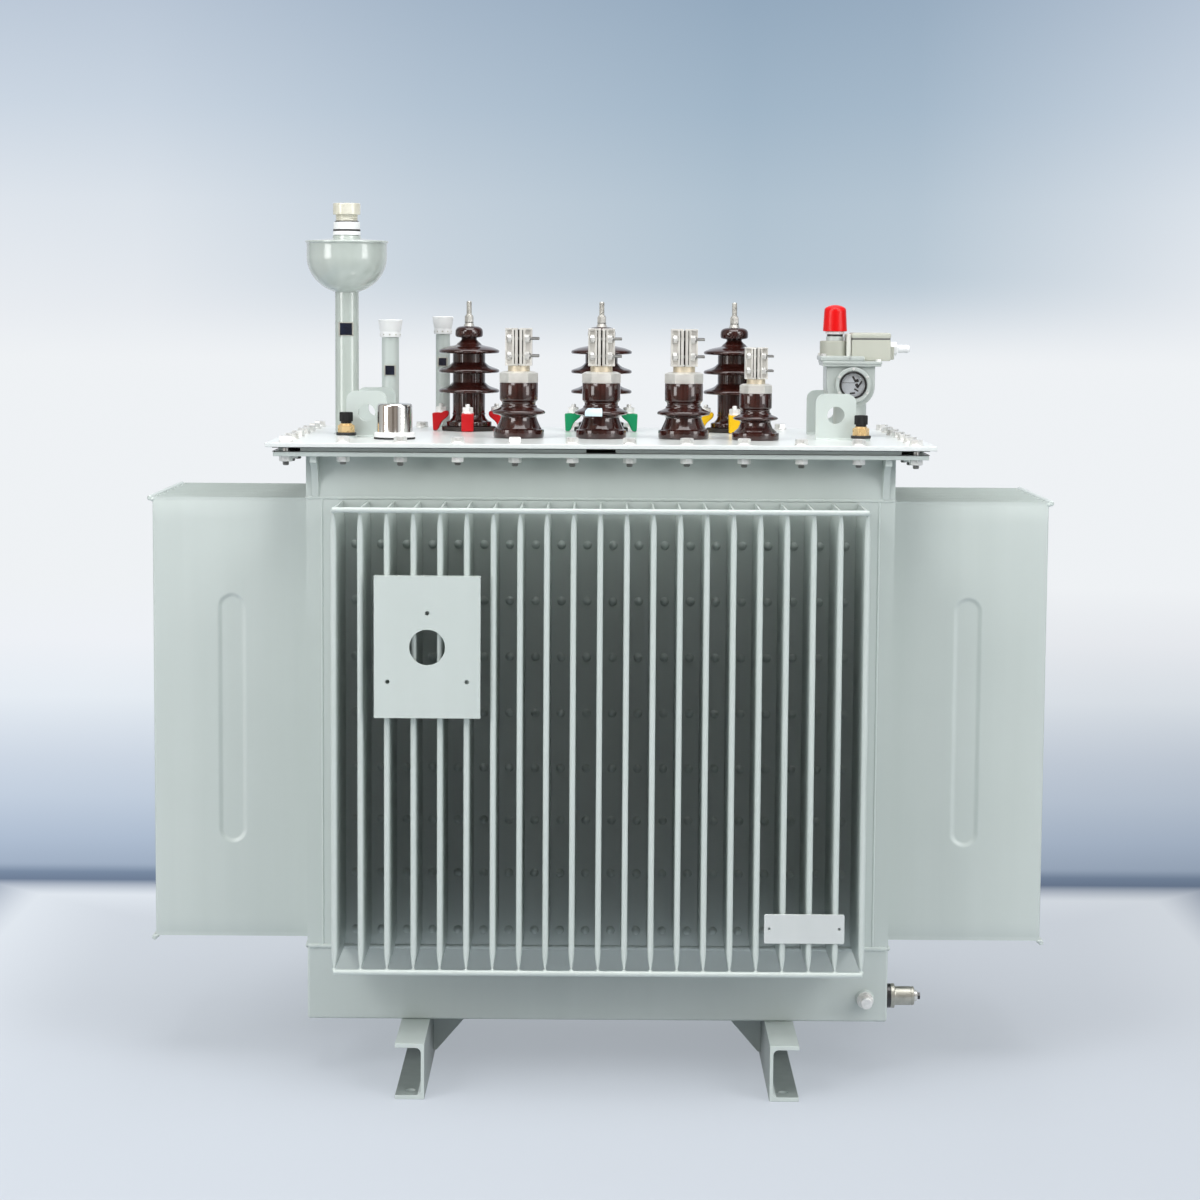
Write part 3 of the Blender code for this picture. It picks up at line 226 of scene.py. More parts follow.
wall_tone = graded(boards, wall_share, [
    ((distance - near_wall) / (far_wall - near_wall), colour) for distance, colour in (
        (1.0, (0.74, 0.80, 0.87)), (1.32, (0.74, 0.79, 0.85)), (1.43, (0.42, 0.47, 0.55)),
        (1.50, (0.15, 0.20, 0.29)), (1.59, (0.18, 0.24, 0.34)), (1.70, (0.34, 0.415, 0.53)),
        (2.07, (0.41, 0.49, 0.61)), (2.70, (0.51, 0.585, 0.69)), (3.4, (0.58, 0.645, 0.735)),
        (4.8, (0.75, 0.80, 0.855)), (6.6, (0.83, 0.855, 0.895)), (9.0, (0.86, 0.885, 0.91)),
    )
])
room_seen = worked(boards, 'MULTIPLY', stretched(boards, reach, 1.4, 2.6, curve='SMOOTHSTEP'),
                   grown(boards, 'LightPath').outputs['Is Glossy Ray'])
floor_room = grown(boards, 'Group', {'Direction': floor_spot}, node_tree=room_shown)
glow_tone = grown(boards, 'Mix', {
    'A': wall_tone, 'B': floor_room.outputs['Color'], 'Factor': room_seen,
}, data_type='RGBA')
# The floor's glow weakens from left to right: painted shade on the floor and the lower backdrop.
across_floor = stretched(boards, floor_compass.outputs['X'], -1.9, 1.9, 1.10, 0.82)
glow_strength = grown(boards, 'Mix', {'A': across_floor, 'B': 1.0, 'Factor': wall_share})
far_glow = grown(boards, 'Emission', {
    'Color': glow_tone.outputs['Result'], 'Strength': glow_strength.outputs['Result'],
})
# Near the tank half of what is seen of the floor is this glow: painted light that lifts the tank's
# cast shadow.
fade = stretched(boards, reach, 1.0, 1.45, 0.5, 1.0, 'SMOOTHSTEP')
floor_mix = grown(boards, 'MixShader', {
    'Fac': worked(boards, 'MULTIPLY', fade, seen_directly(boards)),
    1: floor_shader.outputs[0], 2: far_glow.outputs[0],
})
fed(boards, boards.nodes['Material Output'], {'Surface': floor_mix.outputs[0]})
floor_mesh.materials.append(floor_paint)

# Bottom trough of the tank: 6 mm steel sheet folded up on all sides and welded at its corners, then
# sprayed pale grey-green with the rest of the tank. The paint is satin, with a fine orange peel,
# slow drifts of tone and faint upright streaks where it ran before it dried.


def texture_group():
    """Fine and broad mottling and upright streaks, which every finish here mixes in its own way."""
    group = bpy.data.node_groups.new('surface unevenness', 'ShaderNodeTree')
    for label in ('Fine Scale', 'Broad Scale', 'Streak Scale'):
        group.interface.new_socket(label, in_out='INPUT', socket_type='NodeSocketFloat')
    for label in ('Fine', 'Broad', 'Streaks'):
        group.interface.new_socket(label, in_out='OUTPUT', socket_type='NodeSocketFloat')
    given = group.nodes.new('NodeGroupInput')
    result = group.nodes.new('NodeGroupOutput')
    spot = grown(group, 'TexCoord').outputs['Object']
    drawn_out = grown(group, 'Mapping',
                      {'Vector': spot, 'Scale': (1.0, 1.0, 0.05)}).outputs['Vector']
    for label, scale, place, detail in (
        ('Fine', 'Fine Scale', spot, 2.0), ('Broad', 'Broad Scale', spot, 4.0),
        ('Streaks', 'Streak Scale', drawn_out, 3.0),
    ):
        mottle = grown(group, 'TexNoise', {
            'Vector': place, 'Scale': given.outputs[scale], 'Detail': detail,
        })
        group.links.new(mottle.outputs['Fac'], result.inputs[label])
    return group


unevenness = texture_group()


def finish(name, dark, light, roughness, metallic=0.0, coat=0.0, fine=600.0, broad=6.0,
           streak_scale=40.0, streaks=0.3, rub=0.05, bump=0.08, bump_depth=0.0003, shine=0.5):
    """A surface that drifts between two tones, with fine relief and slightly uneven gloss."""
    surface = bpy.data.materials.new(name)
    surface.use_nodes = True
    tree = surface.node_tree
    texture = grown(tree, 'Group', {
        'Fine Scale': fine, 'Broad Scale': broad, 'Streak Scale': streak_scale,
    }, node_tree=unevenness)
    blend = grown(tree, 'Mix', {
        'Factor': streaks, 'A': texture.outputs['Broad'], 'B': texture.outputs['Streaks'],
    })
    tone = grown(tree, 'Mix', {
        'A': (*dark, 1.0), 'B': (*light, 1.0),
        'Factor': stretched(tree, blend.outputs['Result'], 0.3, 0.7),
    }, data_type='RGBA')
    gloss = stretched(tree, texture.outputs['Broad'], 0.0, 1.0, roughness - rub, roughness + rub)
    relief = grown(tree, 'Bump', {
        'Strength': bump, 'Distance': bump_depth, 'Height': texture.outputs['Fine'],
    })
    fed(tree, tree.nodes['Principled BSDF'], {
        'Metallic': metallic, 'Coat Weight': coat, 'Specular IOR Level': shine,
        'Base Color': tone.outputs['Result'], 'Roughness': gloss,
        'Normal': relief.outputs['Normal'],
    })
    return surface


tank_paint = finish('tank paint', (0.540, 0.600, 0.572), (0.585, 0.642, 0.616), 0.34, coat=0.12,
                    fine=420.0, broad=3.0, streak_scale=30.0, streaks=0.35, bump=0.10)


def made(name, shape, finishes, stands_for=(), crease=32.0, flat_faces=True):
    """Turn a shape into a named piece of the transformer with its finishes."""
    bmesh.ops.recalc_face_normals(shape, faces=shape.faces)
    mesh = bpy.data.meshes.new(name)
    shape.to_mesh(mesh)
    shape.free()
    mesh.shade_smooth()
    mesh.set_sharp_from_angle(angle=math.radians(crease))
    for surface in finishes:
        mesh.materials.append(surface)
    piece = bpy.data.objects.new(name, mesh)
    bpy.context.scene.collection.objects.link(piece)
    if flat_faces:
        even = piece.modifiers.new('flat faces stay flat', 'WEIGHTED_NORMAL')
        even.keep_sharp = True
        even.weight = 80
    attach(piece, 'root')
    if stands_for:
        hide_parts(*stands_for)
    return piece


def eased(node, radius, surface, steps=2, angle=40.0):
    """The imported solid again, its sharp edges rounded as a press or a coat of paint leaves them."""
    shape = bmesh.new()
    shape.from_mesh(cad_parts[node].data)
    for face in shape.faces:
        face.material_index = 0
    bmesh.ops.remove_doubles(shape, verts=shape.verts, dist=0.00002)
    bmesh.ops.dissolve_limit(
        shape, angle_limit=math.radians(0.5), verts=shape.verts, edges=shape.edges
    )
    sharp = [
        edge for edge in shape.edges
        if len(edge.link_faces) == 2 and edge.calc_face_angle(0) > math.radians(angle)
    ]
    bmesh.ops.bevel(
        shape, geom=sharp, offset=radius, segments=steps, affect='EDGES', profile=0.5,
        clamp_overlap=True,
    )
    return made(node + '.painted', shape, [surface], [node])


def weld_bead(shape, start, end, out, width, height, chance):
    """A hand-laid bead on a flat joint: overlapping ripples of uneven width along a line."""
    start, end, out = Vector(start), Vector(end), Vector(out)
    length = (end - start).length
    along = (end - start) / length
    across = along.cross(out)
    ripple = 0.0035
    count = max(2, round(length / ripple))
    rows = []
    for step in range(count + 1):
        swell = 0.86 + 0.28 * chance.random() if step % 2 else 0.80 + 0.2 * chance.random()
        if step in (0, count):
            swell = 0.35
        wander = across * (chance.random() - 0.5) * width * 0.12
        centre = start + along * (length * step / count) + wander
        row = []
        for turn in range(7):
            angle = math.pi * turn / 6
            row.append(shape.verts.new(
                centre
                + across * (math.cos(angle) * width / 2 * swell)
                + out * (math.sin(angle) * height * swell - 0.0002)
            ))
        rows.append(row)
    for one, two in zip(rows, rows[1:]):
        for turn in range(6):
            shape.faces.new((one[turn], one[turn + 1], two[turn + 1], two[turn]))
        shape.faces.new((one[6], one[0], two[0], two[6]))
    shape.faces.new(rows[0])
    shape.faces.new(rows[-1][::-1])


eased('bottom_frame', 0.0042, tank_paint, 4)
welder = random.Random(4)
seam = bmesh.new()
seam_height = tank_high.z
for face in (-1, 1):
    reach = middle.y + face * (tank_high.y - middle.y)
    weld_bead(seam, (tank_low.x + 0.001, reach, seam_height),
              (tank_high.x - 0.001, reach, seam_height), (0, face, 0), 0.0090, 0.0044, welder)
    side = face * tank_high.x
    weld_bead(seam, (side, tank_low.y + 0.001, seam_height),
              (side, tank_high.y - 0.001, seam_height), (face, 0, 0), 0.0090, 0.0044, welder)
made('trough_weld', seam, [tank_paint], crease=60.0)

# Corrugated walls: one long thin sheet pressed into deep hollow fins that cool the oil. Each fin is
# pinched flat and seam-welded at its head and foot, and swells to a rounded nose between. Rows of
# small domes stiffen the valleys, and a long rounded rib is pressed into each outermost fin.

fin_pitch = 0.046
fin_half = 0.0050
crimp_half = 0.0016
crimp_length = 0.005
foot_swell = 0.034
head_swell = 0.040
rib_half_width = 0.02625
rib_half_length = 0.230
rib_depth = 0.0040
rib_slope = 0.0090


def fin_half_at(height, top):
    """Half the fin's thickness at a height: pinched at both ends, swelling like a bow."""
    for distance, swell in ((height, foot_swell), (top - height, head_swell)):
        if distance <= crimp_length:
            return crimp_half
        if distance < swell:
            share = (distance - crimp_length) / (swell - crimp_length)
            return crimp_half + (fin_half - crimp_half) * math.sin(share * math.pi / 2) ** 0.9
    return fin_half


def rib_press(back, up):
    """How far the long rib is pressed in at a point of the outermost fin, from the rib's middle."""
    beyond = max(0.0, abs(up) - (rib_half_length - rib_half_width))
    inside = rib_half_width - math.hypot(back, beyond)
    share = min(1.0, max(0.0, inside / rib_slope))
    return rib_depth * share * share * (3 - 2 * share)


def fin(shape, place, across, depth, top, ribbed):
    """One hollow fin as a loft up its height. Ribbed: -1, 0 or 1, the side with the long rib."""
    ends = [0.0, crimp_length]
    ends += [crimp_length + (foot_swell - crimp_length) * share
             for share in (0.08, 0.2, 0.36, 0.55, 0.78, 1.0)]
    heads = [top, top - crimp_length]
    heads += [
        top - crimp_length - (head_swell - crimp_length) * share
        for share in (0.08, 0.2, 0.36, 0.55, 0.78, 1.0)
    ]
    levels = ends + heads[::-1]
    rib_middle = top / 2
    backs = []
    if ribbed:
        round_part = rib_half_width + 0.003
        for end in (-1, 1):
            centre = rib_middle + end * (rib_half_length - rib_half_width)
            levels += [centre + end * round_part * step / 16 for step in range(17)]
        levels = sorted(set(round(level, 6) for level in levels))
        backs = [depth / 2 + (rib_half_width + 0.002) * step / 16 for step in range(-16, 17)]
    rows = []
    for level in levels:
        half = fin_half_at(level, top)
        nose = max(half, crimp_half)
        line = [(ribbed or -1) * half, 0.003], [-(ribbed or -1) * half, 0.003]
        outline = [line[0]]
        hand = ribbed or -1
        for back in backs:
            outline.append([hand * (half - rib_press(back - depth / 2, level - rib_middle)), -back])
        for turn in range(9):
            angle = math.pi * turn / 8
            outline.append([hand * half * math.cos(angle),
                            -(depth - nose) - nose * math.sin(angle)])
        outline.append(line[1])
        rows.append([shape.verts.new(place @ Vector((across + x, y, level))) for x, y in outline])
    for lower, upper in zip(rows, rows[1:]):
        for here in range(len(lower)):
            after = (here + 1) % len(lower)
            shape.faces.new((lower[here], lower[after], upper[after], upper[here]))
    shape.faces.new(rows[0])
    shape.faces.new(rows[-1][::-1])


def turned(shape, outline, steps, place, finish_number=0, whole=True):
    """Spin an outline of radius and height about its own upright axis."""
    rings = []
    for radius, height in outline:
        count = 1 if radius < 0.00001 else steps
        rings.append([
            shape.verts.new(place @ Vector((
                radius * math.cos(math.tau * step / steps),
                radius * math.sin(math.tau * step / steps), height
            )))
            for step in range(count)
        ])
    pairs = list(zip(rings, rings[1:]))
    if not whole:
        pairs.append((rings[-1], rings[0]))
    for one, two in pairs:
        if len(one) == 1 and len(two) == 1:
            continue
        for step in range(steps):
            after = (step + 1) % steps
            corners = [one[step % len(one)], one[after % len(one)], two[after % len(two)],
                       two[step % len(two)]]
            face = shape.faces.new(list(dict.fromkeys(corners)))
            face.material_index = finish_number


dome_rows = (0.9647, 0.8643, 0.7635, 0.6623, 0.5625, 0.4678, 0.3710, 0.2664)
dome_outline = [(0.0, 0.0050), (0.0028, 0.0047), (0.0052, 0.0036), (0.0068, 0.0020), (0.0080, 0.0)]
out_of_wall = Matrix.Rotation(math.radians(90), 4, 'X')


def fin_wall(side, turn, distance, sheet_half, count, depth):
    """A wall with its fins, domes and ribs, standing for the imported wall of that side."""
    node = side + '_fin_wall'
    low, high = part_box(node)
    place = Matrix.Translation((middle.x, middle.y, 0)) @ Matrix.Rotation(turn, 4, 'Z')
    place = place @ Matrix.Translation((0, -distance, low.z))
    shape = bmesh.new()
    tall = high.z - low.z
    corners = [shape.verts.new(place @ Vector((x, y, z)))
               for z in (0, tall) for x, y in ((-sheet_half, 0), (sheet_half, 0),
                                               (sheet_half, 0.006), (-sheet_half, 0.006))]
    for quad in ((0, 1, 5, 4), (1, 2, 6, 5), (2, 3, 7, 6), (3, 0, 4, 7), (3, 2, 1, 0),
                 (4, 5, 6, 7)):
        shape.faces.new([corners[corner] for corner in quad])
    span = (count - 1) * fin_pitch / 2
    fin_top = tall - 0.0055
    for number in range(count):
        ribbed = -1 if number == 0 else 1 if number == count - 1 else 0
        fin(shape, place, -span + number * fin_pitch, depth, fin_top, ribbed)
    for number in range(count - 1):
        for height in dome_rows:
            spot = Matrix.Translation((-span + (number + 0.5) * fin_pitch, 0, height - low.z))
            turned(shape, dome_outline, 14, place @ spot @ out_of_wall)
    return made(side + '_corrugated_wall', shape, [tank_paint], [node], 38.0)


front_low, front_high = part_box('front_fin_wall')
side_low, side_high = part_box('left_fin_wall')
tank_half_x = tank_high.x
tank_half_y = tank_high.y - middle.y
front_depth = (middle.y - front_low.y) - tank_half_y
side_depth = (middle.x - side_low.x) - tank_half_x
quarter = math.radians(90)
fin_wall('front', 0, tank_half_y, tank_half_x, 21, front_depth)
fin_wall('back', 2 * quarter, tank_half_y, tank_half_x, 21, front_depth)
fin_wall('left', -quarter, tank_half_x, (side_high.y - side_low.y) / 2, 10, side_depth)
fin_wall('right', quarter, tank_half_x, (side_high.y - side_low.y) / 2, 10, side_depth)

# Welds of the walls: an upright bead down each corner strip, and one round the top of the walls
# where they meet the smooth band.

wall_seams = bmesh.new()
wall_top = front_high.z
strip_seam = 0.4965
for face in (-1, 1):
    reach = middle.y + face * tank_half_y
    for hand in (-1, 1):
        weld_bead(wall_seams, (hand * strip_seam, reach, seam_height),
                  (hand * strip_seam, reach, wall_top), (0, face, 0), 0.0042, 0.0016, welder)
    weld_bead(wall_seams, (-tank_half_x, reach, wall_top), (tank_half_x, reach, wall_top),
              (0, face, 0), 0.0060, 0.0022, welder)
    weld_bead(wall_seams, (face * tank_half_x, tank_low.y, wall_top),
              (face * tank_half_x, tank_high.y, wall_top), (face, 0, 0), 0.0060, 0.0022, welder)
made('wall_welds', wall_seams, [tank_paint], crease=60.0)

# Stiffening rods: 9.5 mm round bar welded across the noses at the head and foot of every wall, with
# a small fillet of weld where each fin meets the bar.

rod_half = 0.00475
for side in ('front', 'back', 'left', 'right'):
    for level in ('lower', 'upper'):
        node = side + '_' + level + '_rod'
        low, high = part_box(node)
        centre = (low + high) / 2
        bar = bmesh.new()
        lengthwise = side in ('front', 'back')
        half = (high.x - low.x) / 2 if lengthwise else (high.y - low.y) / 2
        lay = Matrix.Rotation(quarter, 4, 'Y') if lengthwise else Matrix.Rotation(-quarter, 4, 'X')
        rounding = 0.0012
        turned(bar, [(0, half), (rod_half - rounding, half), (rod_half, half - rounding),
                     (rod_half, rounding - half), (rod_half - rounding, -half), (0, -half)],
               24, Matrix.Translation(centre) @ lay)
        noses = 21 if lengthwise else 10
        inward = Vector((0, 1, 0)) if side == 'front' else Vector((0, -1, 0))
        if not lengthwise:
            inward = Vector((1, 0, 0)) if side == 'left' else Vector((-1, 0, 0))
        along = Vector((1, 0, 0)) if lengthwise else Vector((0, 1, 0))
        upward = 1 if level == 'lower' else -1
        for number in range(noses):
            spot = centre + along * (number - (noses - 1) / 2) * fin_pitch
            spot = spot + inward * rod_half + Vector((0, 0, upward * rod_half * 0.55))
            blob = Matrix.Translation(spot) @ Matrix.Diagonal((0.0042, 0.0042, 0.0038, 1))
            bmesh.ops.create_icosphere(bar, subdivisions=2, radius=1.0, matrix=blob)
        made(side + '_' + level + '_bar', bar, [tank_paint], [node])

# Upper band of the tank with its rim flange, folded gussets at the corners and the narrow bars that
# stop the seal from being crushed. It is all one welded and painted piece.

eased('upper_frame', 0.0009, tank_paint)

# Seal between the rim and the cover: black cork rubber. Thin strips of the same rubber stand out
# above and below the narrow bars as painted shade, for the dark lines of the gaps there.

seal_rubber = finish('seal rubber', (0.012, 0.012, 0.012), (0.030, 0.029, 0.028), 0.62, fine=900.0,
                     bump=0.2)
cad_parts['cover_gasket'].data.materials.clear()
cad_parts['cover_gasket'].data.materials.append(seal_rubber)


def add_to(shape, part, place, finish_number=0):
    """Put a finished small part into a larger shape."""
    for face in part.faces:
        face.material_index = finish_number
    bmesh.ops.transform(part, matrix=place, verts=part.verts)
    carrier = bpy.data.meshes.new('carrier')
    part.to_mesh(carrier)
    part.free()
    shape.from_mesh(carrier)
    bpy.data.meshes.remove(carrier)


def round_block(shape, size, centre, place, bevel, finish_number=0):
    """A block with eased edges, from its size and the place of its middle."""
    blank = bmesh.new()
    bmesh.ops.create_cube(blank, size=1)
    bmesh.ops.scale(blank, vec=size, verts=blank.verts)
    bmesh.ops.translate(blank, vec=centre, verts=blank.verts)
    if bevel:
        bmesh.ops.bevel(blank, geom=list(blank.edges), offset=bevel, segments=2, affect='EDGES',
                        profile=0.5, clamp_overlap=True)
    add_to(shape, blank, place, finish_number)


seal_low, seal_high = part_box('cover_gasket')
# Thin black strips above and below the narrow bars: painted shade for the gap lines.
shade_strip_reach = 0.0372
shade_strip_thick = 0.0020
shade_strip_x = seal_high.x + shade_strip_reach
shade_strip_y = seal_high.y - middle.y + shade_strip_reach
shade_strips = bmesh.new()
for height, tall in ((seal_high.z - 0.0006, 0.0011), (seal_low.z + 0.0004, 0.0007)):
    for face in (-1, 1):
        round_block(shade_strips, (2 * shade_strip_x, shade_strip_thick, tall), (0, middle.y + face * shade_strip_y, height),
                    Matrix(), 0)
        round_block(shade_strips, (shade_strip_thick, 2 * shade_strip_y, tall), (face * shade_strip_x, middle.y, height),
                    Matrix(), 0)
made('seal_shade_strips', shade_strips, [seal_rubber])

# Cover: an 8 mm plate in a paler copy of the tank's paint, as painted light for the bright top
# light on it. It is held down by rows of zinc-plated bolts through it and the rim, each with a
# washer and a nut whose stud end hangs below the flange.

cover_paint_with_painted_light = finish('cover paint with painted light', (0.720, 0.760, 0.745), (0.780, 0.815, 0.800), 0.30, coat=0.2,
                     fine=420.0, broad=3.0, streaks=0.2, bump=0.08)
eased('cover_plate', 0.0012, cover_paint_with_painted_light)
cover_low, cover_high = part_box('cover_plate')
cover_top = cover_high.z
rim_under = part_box('upper_frame')[1].z - 0.008

zinc_plate = finish('zinc plate', (0.66, 0.66, 0.64), (0.92, 0.92, 0.90), 0.30, metallic=0.5,
                    fine=500.0, broad=90.0, streaks=0.1, rub=0.08, bump=0.15)


def hexagon(shape, flats, tall, place, finish_number=0, turn=0.0):
    """A hexagon with the bevelled crown of a bolt head or nut."""
    corner = flats / 2 / math.cos(math.radians(30))
    crown = flats * 0.055
    turned(shape, [(0, tall), (flats * 0.46, tall), (corner, tall - crown), (corner, 0), (0, 0)], 6,
           place @ Matrix.Rotation(turn, 4, 'Z'), finish_number)


def threaded(shape, radius, foot_height, top_height, pitch, place, finish_number=0, steps=20):
    """A stud with real thread ridges and a chamfered tip."""
    outline = [(0, top_height), (radius * 0.72, top_height)]
    height = top_height - radius * 0.25
    outline.append((radius * 0.94, height))
    while height - pitch > foot_height:
        outline += [(radius, height - pitch * 0.35), (radius * 0.88, height - pitch * 0.85)]
        height -= pitch
    outline += [(radius * 0.9, foot_height), (0, foot_height)]
    turned(shape, outline, steps, place, finish_number)


long_start, long_row, long_pitch = 0.0507, 0.322, 0.1013
short_row, short_pitch = 0.5572, 0.1073
bolt_rows = []
for number in range(6):
    for hand in (-1, 1):
        for face in (-1, 1):
            bolt_rows.append((hand * (long_start + long_pitch * number), face * long_row))
for number in range(-2, 3):
    for hand in (-1, 1):
        bolt_rows.append((hand * short_row, number * short_pitch))
bolt_work = bmesh.new()
fitter = random.Random(11)
upside_down = Matrix.Rotation(math.pi, 4, 'X')
for across, back in bolt_rows:
    spin = fitter.random() * math.tau
    top = Matrix.Translation((across, middle.y + back, cover_top))
    turned(bolt_work,
           [(0, 0.0026), (0.0119, 0.0026), (0.0127, 0.0018), (0.0127, 0), (0, 0)], 24, top)
    hexagon(bolt_work, 0.0204, 0.0086, top @ Matrix.Translation((0, 0, 0.0026)), 0, spin)
    under = Matrix.Translation((across, middle.y + back, rim_under)) @ upside_down
    turned(bolt_work, [(0, 0.0024), (0.0117, 0.0024), (0.0125, 0.0017), (0.0125, 0), (0, 0)],
           24, under)
    # The nuts under the flange take the zinc with painted light.
    hexagon(bolt_work, 0.0208, 0.0160, under @ Matrix.Translation((0, 0, 0.0024)), 2,
            fitter.random() * math.tau)
    threaded(bolt_work, 0.0059, 0.0180, 0.0230 + 0.002 * fitter.random(), 0.00175, under, 1)
    turned(bolt_work, [(0.0058, 0.020), (0.0058, 0.0)], 12,
           Matrix.Translation((across, middle.y + back, cover_low.z - 0.010)))
ring_steel = finish('ring steel', (0.16, 0.16, 0.155), (0.30, 0.30, 0.29), 0.38, metallic=0.7,
                    fine=450.0, broad=60.0, bump=0.15)
# A paler, less metallic copy of the zinc plate: painted light, so the nuts in the shade under the
# flange read as lit. The bushing clamps' nuts, washers and studs use it too.
zinc_with_painted_light = finish('zinc with painted light', (0.72, 0.72, 0.70), (0.96, 0.96, 0.94), 0.34, metallic=0.15,
                     fine=500.0, broad=110.0, streaks=0.1, rub=0.08, bump=0.15)
made('cover_bolts', bolt_work, [zinc_plate, ring_steel, zinc_with_painted_light])

# Skids: two rolled channels with their webs turned in, each braced to the tank bottom by gusset
# plates, and drilled near its ends for foundation bolts. The tops of their bottom flanges and
# their inward webs take a darker paint: painted shade for the shadow under the tank.

# A darker copy of the tank paint: painted shade for the parts of the skids in the tank's shadow.
shaded_paint = finish('skid paint in painted shade', (0.20, 0.23, 0.22), (0.30, 0.34, 0.32), 0.42, fine=420.0,
                      broad=9.0)
for node in ('left_leg', 'right_leg'):
    skid = eased(node, 0.0012, tank_paint)
    skid.data.materials.append(shaded_paint)
    # Faces turned inward, and upward-facing faces low on the skid, get the painted shade.
    for face in skid.data.polygons:
        inward = face.normal.x * face.center.x < -0.9 * abs(face.center.x)
        if inward or face.normal.z > 0.9 and face.center.z < 0.03:
            face.material_index = 1

# High-voltage bushings: brown glazed porcelain with three sheds, a lobed head and a wide foot. The
# foot is held down by a steel ring and four clamps, each a bent finger in a coloured plastic boot
# under a nut on its own stud. The boots' red, green and yellow tell the phases apart.

brown_glaze = finish('brown glaze', (0.014, 0.0032, 0.0024), (0.046, 0.0115, 0.0085), 0.13,
                     coat=0.5, fine=150.0, broad=60.0, streaks=0.2, rub=0.03, bump=0.07, shine=0.5)
# Dark steel made near black as painted shade: the clamp rings in the shade at the bushings' feet, and
# on the low-voltage clamps the core seen in the slits between the bars. The washers under the clamp
# bolts' heads use it too.
shaded_ring = finish('dark steel in painted shade', (0.020, 0.014, 0.012), (0.045, 0.036, 0.032), 0.45,
                     metallic=0.3, fine=450.0, broad=60.0, bump=0.15)
stud_steel = finish('stud steel', (0.40, 0.39, 0.36), (0.66, 0.65, 0.61), 0.34, metallic=0.45,
                    fine=450.0, broad=90.0, bump=0.2)
boot_finishes = {
    'a': finish('red boot', (0.46, 0.003, 0.006), (0.60, 0.008, 0.013), 0.42, fine=700.0, bump=0.12,
                shine=0.3),
    'b': finish('green boot', (0.004, 0.225, 0.085), (0.010, 0.310, 0.130), 0.42, fine=700.0,
                bump=0.12, shine=0.3),
    'c': finish('yellow boot', (0.84, 0.48, 0.004), (0.93, 0.58, 0.010), 0.42, fine=700.0,
                bump=0.12, shine=0.3),
}
shed_skin = [(0.0313, 0.0165), (0.0330, 0.0148), (0.0360, 0.0120), (0.0400, 0.0094),
             (0.0450, 0.0074), (0.0500, 0.0057), (0.0545, 0.0041), (0.0572, 0.0028),
             (0.0583, 0.0014), (0.0586, -0.0002), (0.0581, -0.0022), (0.0565, -0.0034),
             (0.0520, -0.0038), (0.0400, -0.0036), (0.0330, -0.0038), (0.0313, -0.0052)]
porcelain = [(0, 0.2012), (0.0115, 0.2012), (0.0180, 0.2004), (0.0226, 0.1984), (0.0253, 0.1957),
             (0.0265, 0.1925), (0.0268, 0.1880), (0.0266, 0.1838), (0.0256, 0.1812),
             (0.0234, 0.1800), (0.0190, 0.1794), (0.0158, 0.1786), (0.0146, 0.1770),
             (0.0150, 0.1752), (0.0176, 0.1724), (0.0205, 0.1700), (0.0228, 0.1680),
             (0.0242, 0.1658), (0.0266, 0.1646), (0.0337, 0.1632), (0.0410, 0.1617),
             (0.0472, 0.1600)]
for height in (0.1530, 0.1155, 0.0770):
    skin = shed_skin[6:] if height > 0.15 else shed_skin
    porcelain += [(radius, height + up) for radius, up in skin]
porcelain += [(0.0310, 0.0345), (0.0318, 0.0338), (0.0318, 0.0318), (0.0310, 0.0310),
              (0.0312, 0.0290), (0.0330, 0.0245), (0.0362, 0.0210), (0.0376, 0.0196),
              (0.0420, 0.0183), (0.0436, 0.0176), (0.0440, 0.0165), (0.0440, 0.0100),
              (0.0432, 0.0090), (0.0, 0.0090)]
boot_side = [(0.0612, 0.0006), (0.0672, 0.0006), (0.0690, 0.0022), (0.0698, 0.0180),
             (0.0704, 0.0318), (0.0698, 0.0338), (0.0560, 0.0362), (0.0440, 0.0384),
             (0.0402, 0.0380), (0.0384, 0.0352), (0.0386, 0.0308), (0.0412, 0.0268),
             (0.0462, 0.0226), (0.0502, 0.0194), (0.0534, 0.0150), (0.0560, 0.0094),
             (0.0580, 0.0040)]


def plate_outline(shape, outline, thickness, place, bevel=0.0, finish_number=0):
    """A flat outline of across and up, given thickness about its middle, with eased edges."""
    blank = bmesh.new()
    front = [blank.verts.new((x, -thickness / 2, z)) for x, z in outline]
    back = [blank.verts.new((x, thickness / 2, z)) for x, z in outline]
    faces = [blank.faces.new(front), blank.faces.new(back[::-1])]
    rims = list(faces[0].edges) + list(faces[1].edges)
    for here in range(len(front)):
        after = (here + 1) % len(front)
        blank.faces.new((front[here], back[here], back[after], front[after]))
    bmesh.ops.recalc_face_normals(blank, faces=blank.faces)
    if bevel:
        bmesh.ops.bevel(blank, geom=rims, offset=bevel, segments=2, affect='EDGES', profile=0.5,
                        clamp_overlap=True)
    add_to(shape, blank, place, finish_number)


def foot_of(node, on_cover=True):
    """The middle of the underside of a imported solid, set down on the cover."""
    low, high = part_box(node)
    return Vector(((low.x + high.x) / 2, (low.y + high.y) / 2, cover_top if on_cover else low.z))


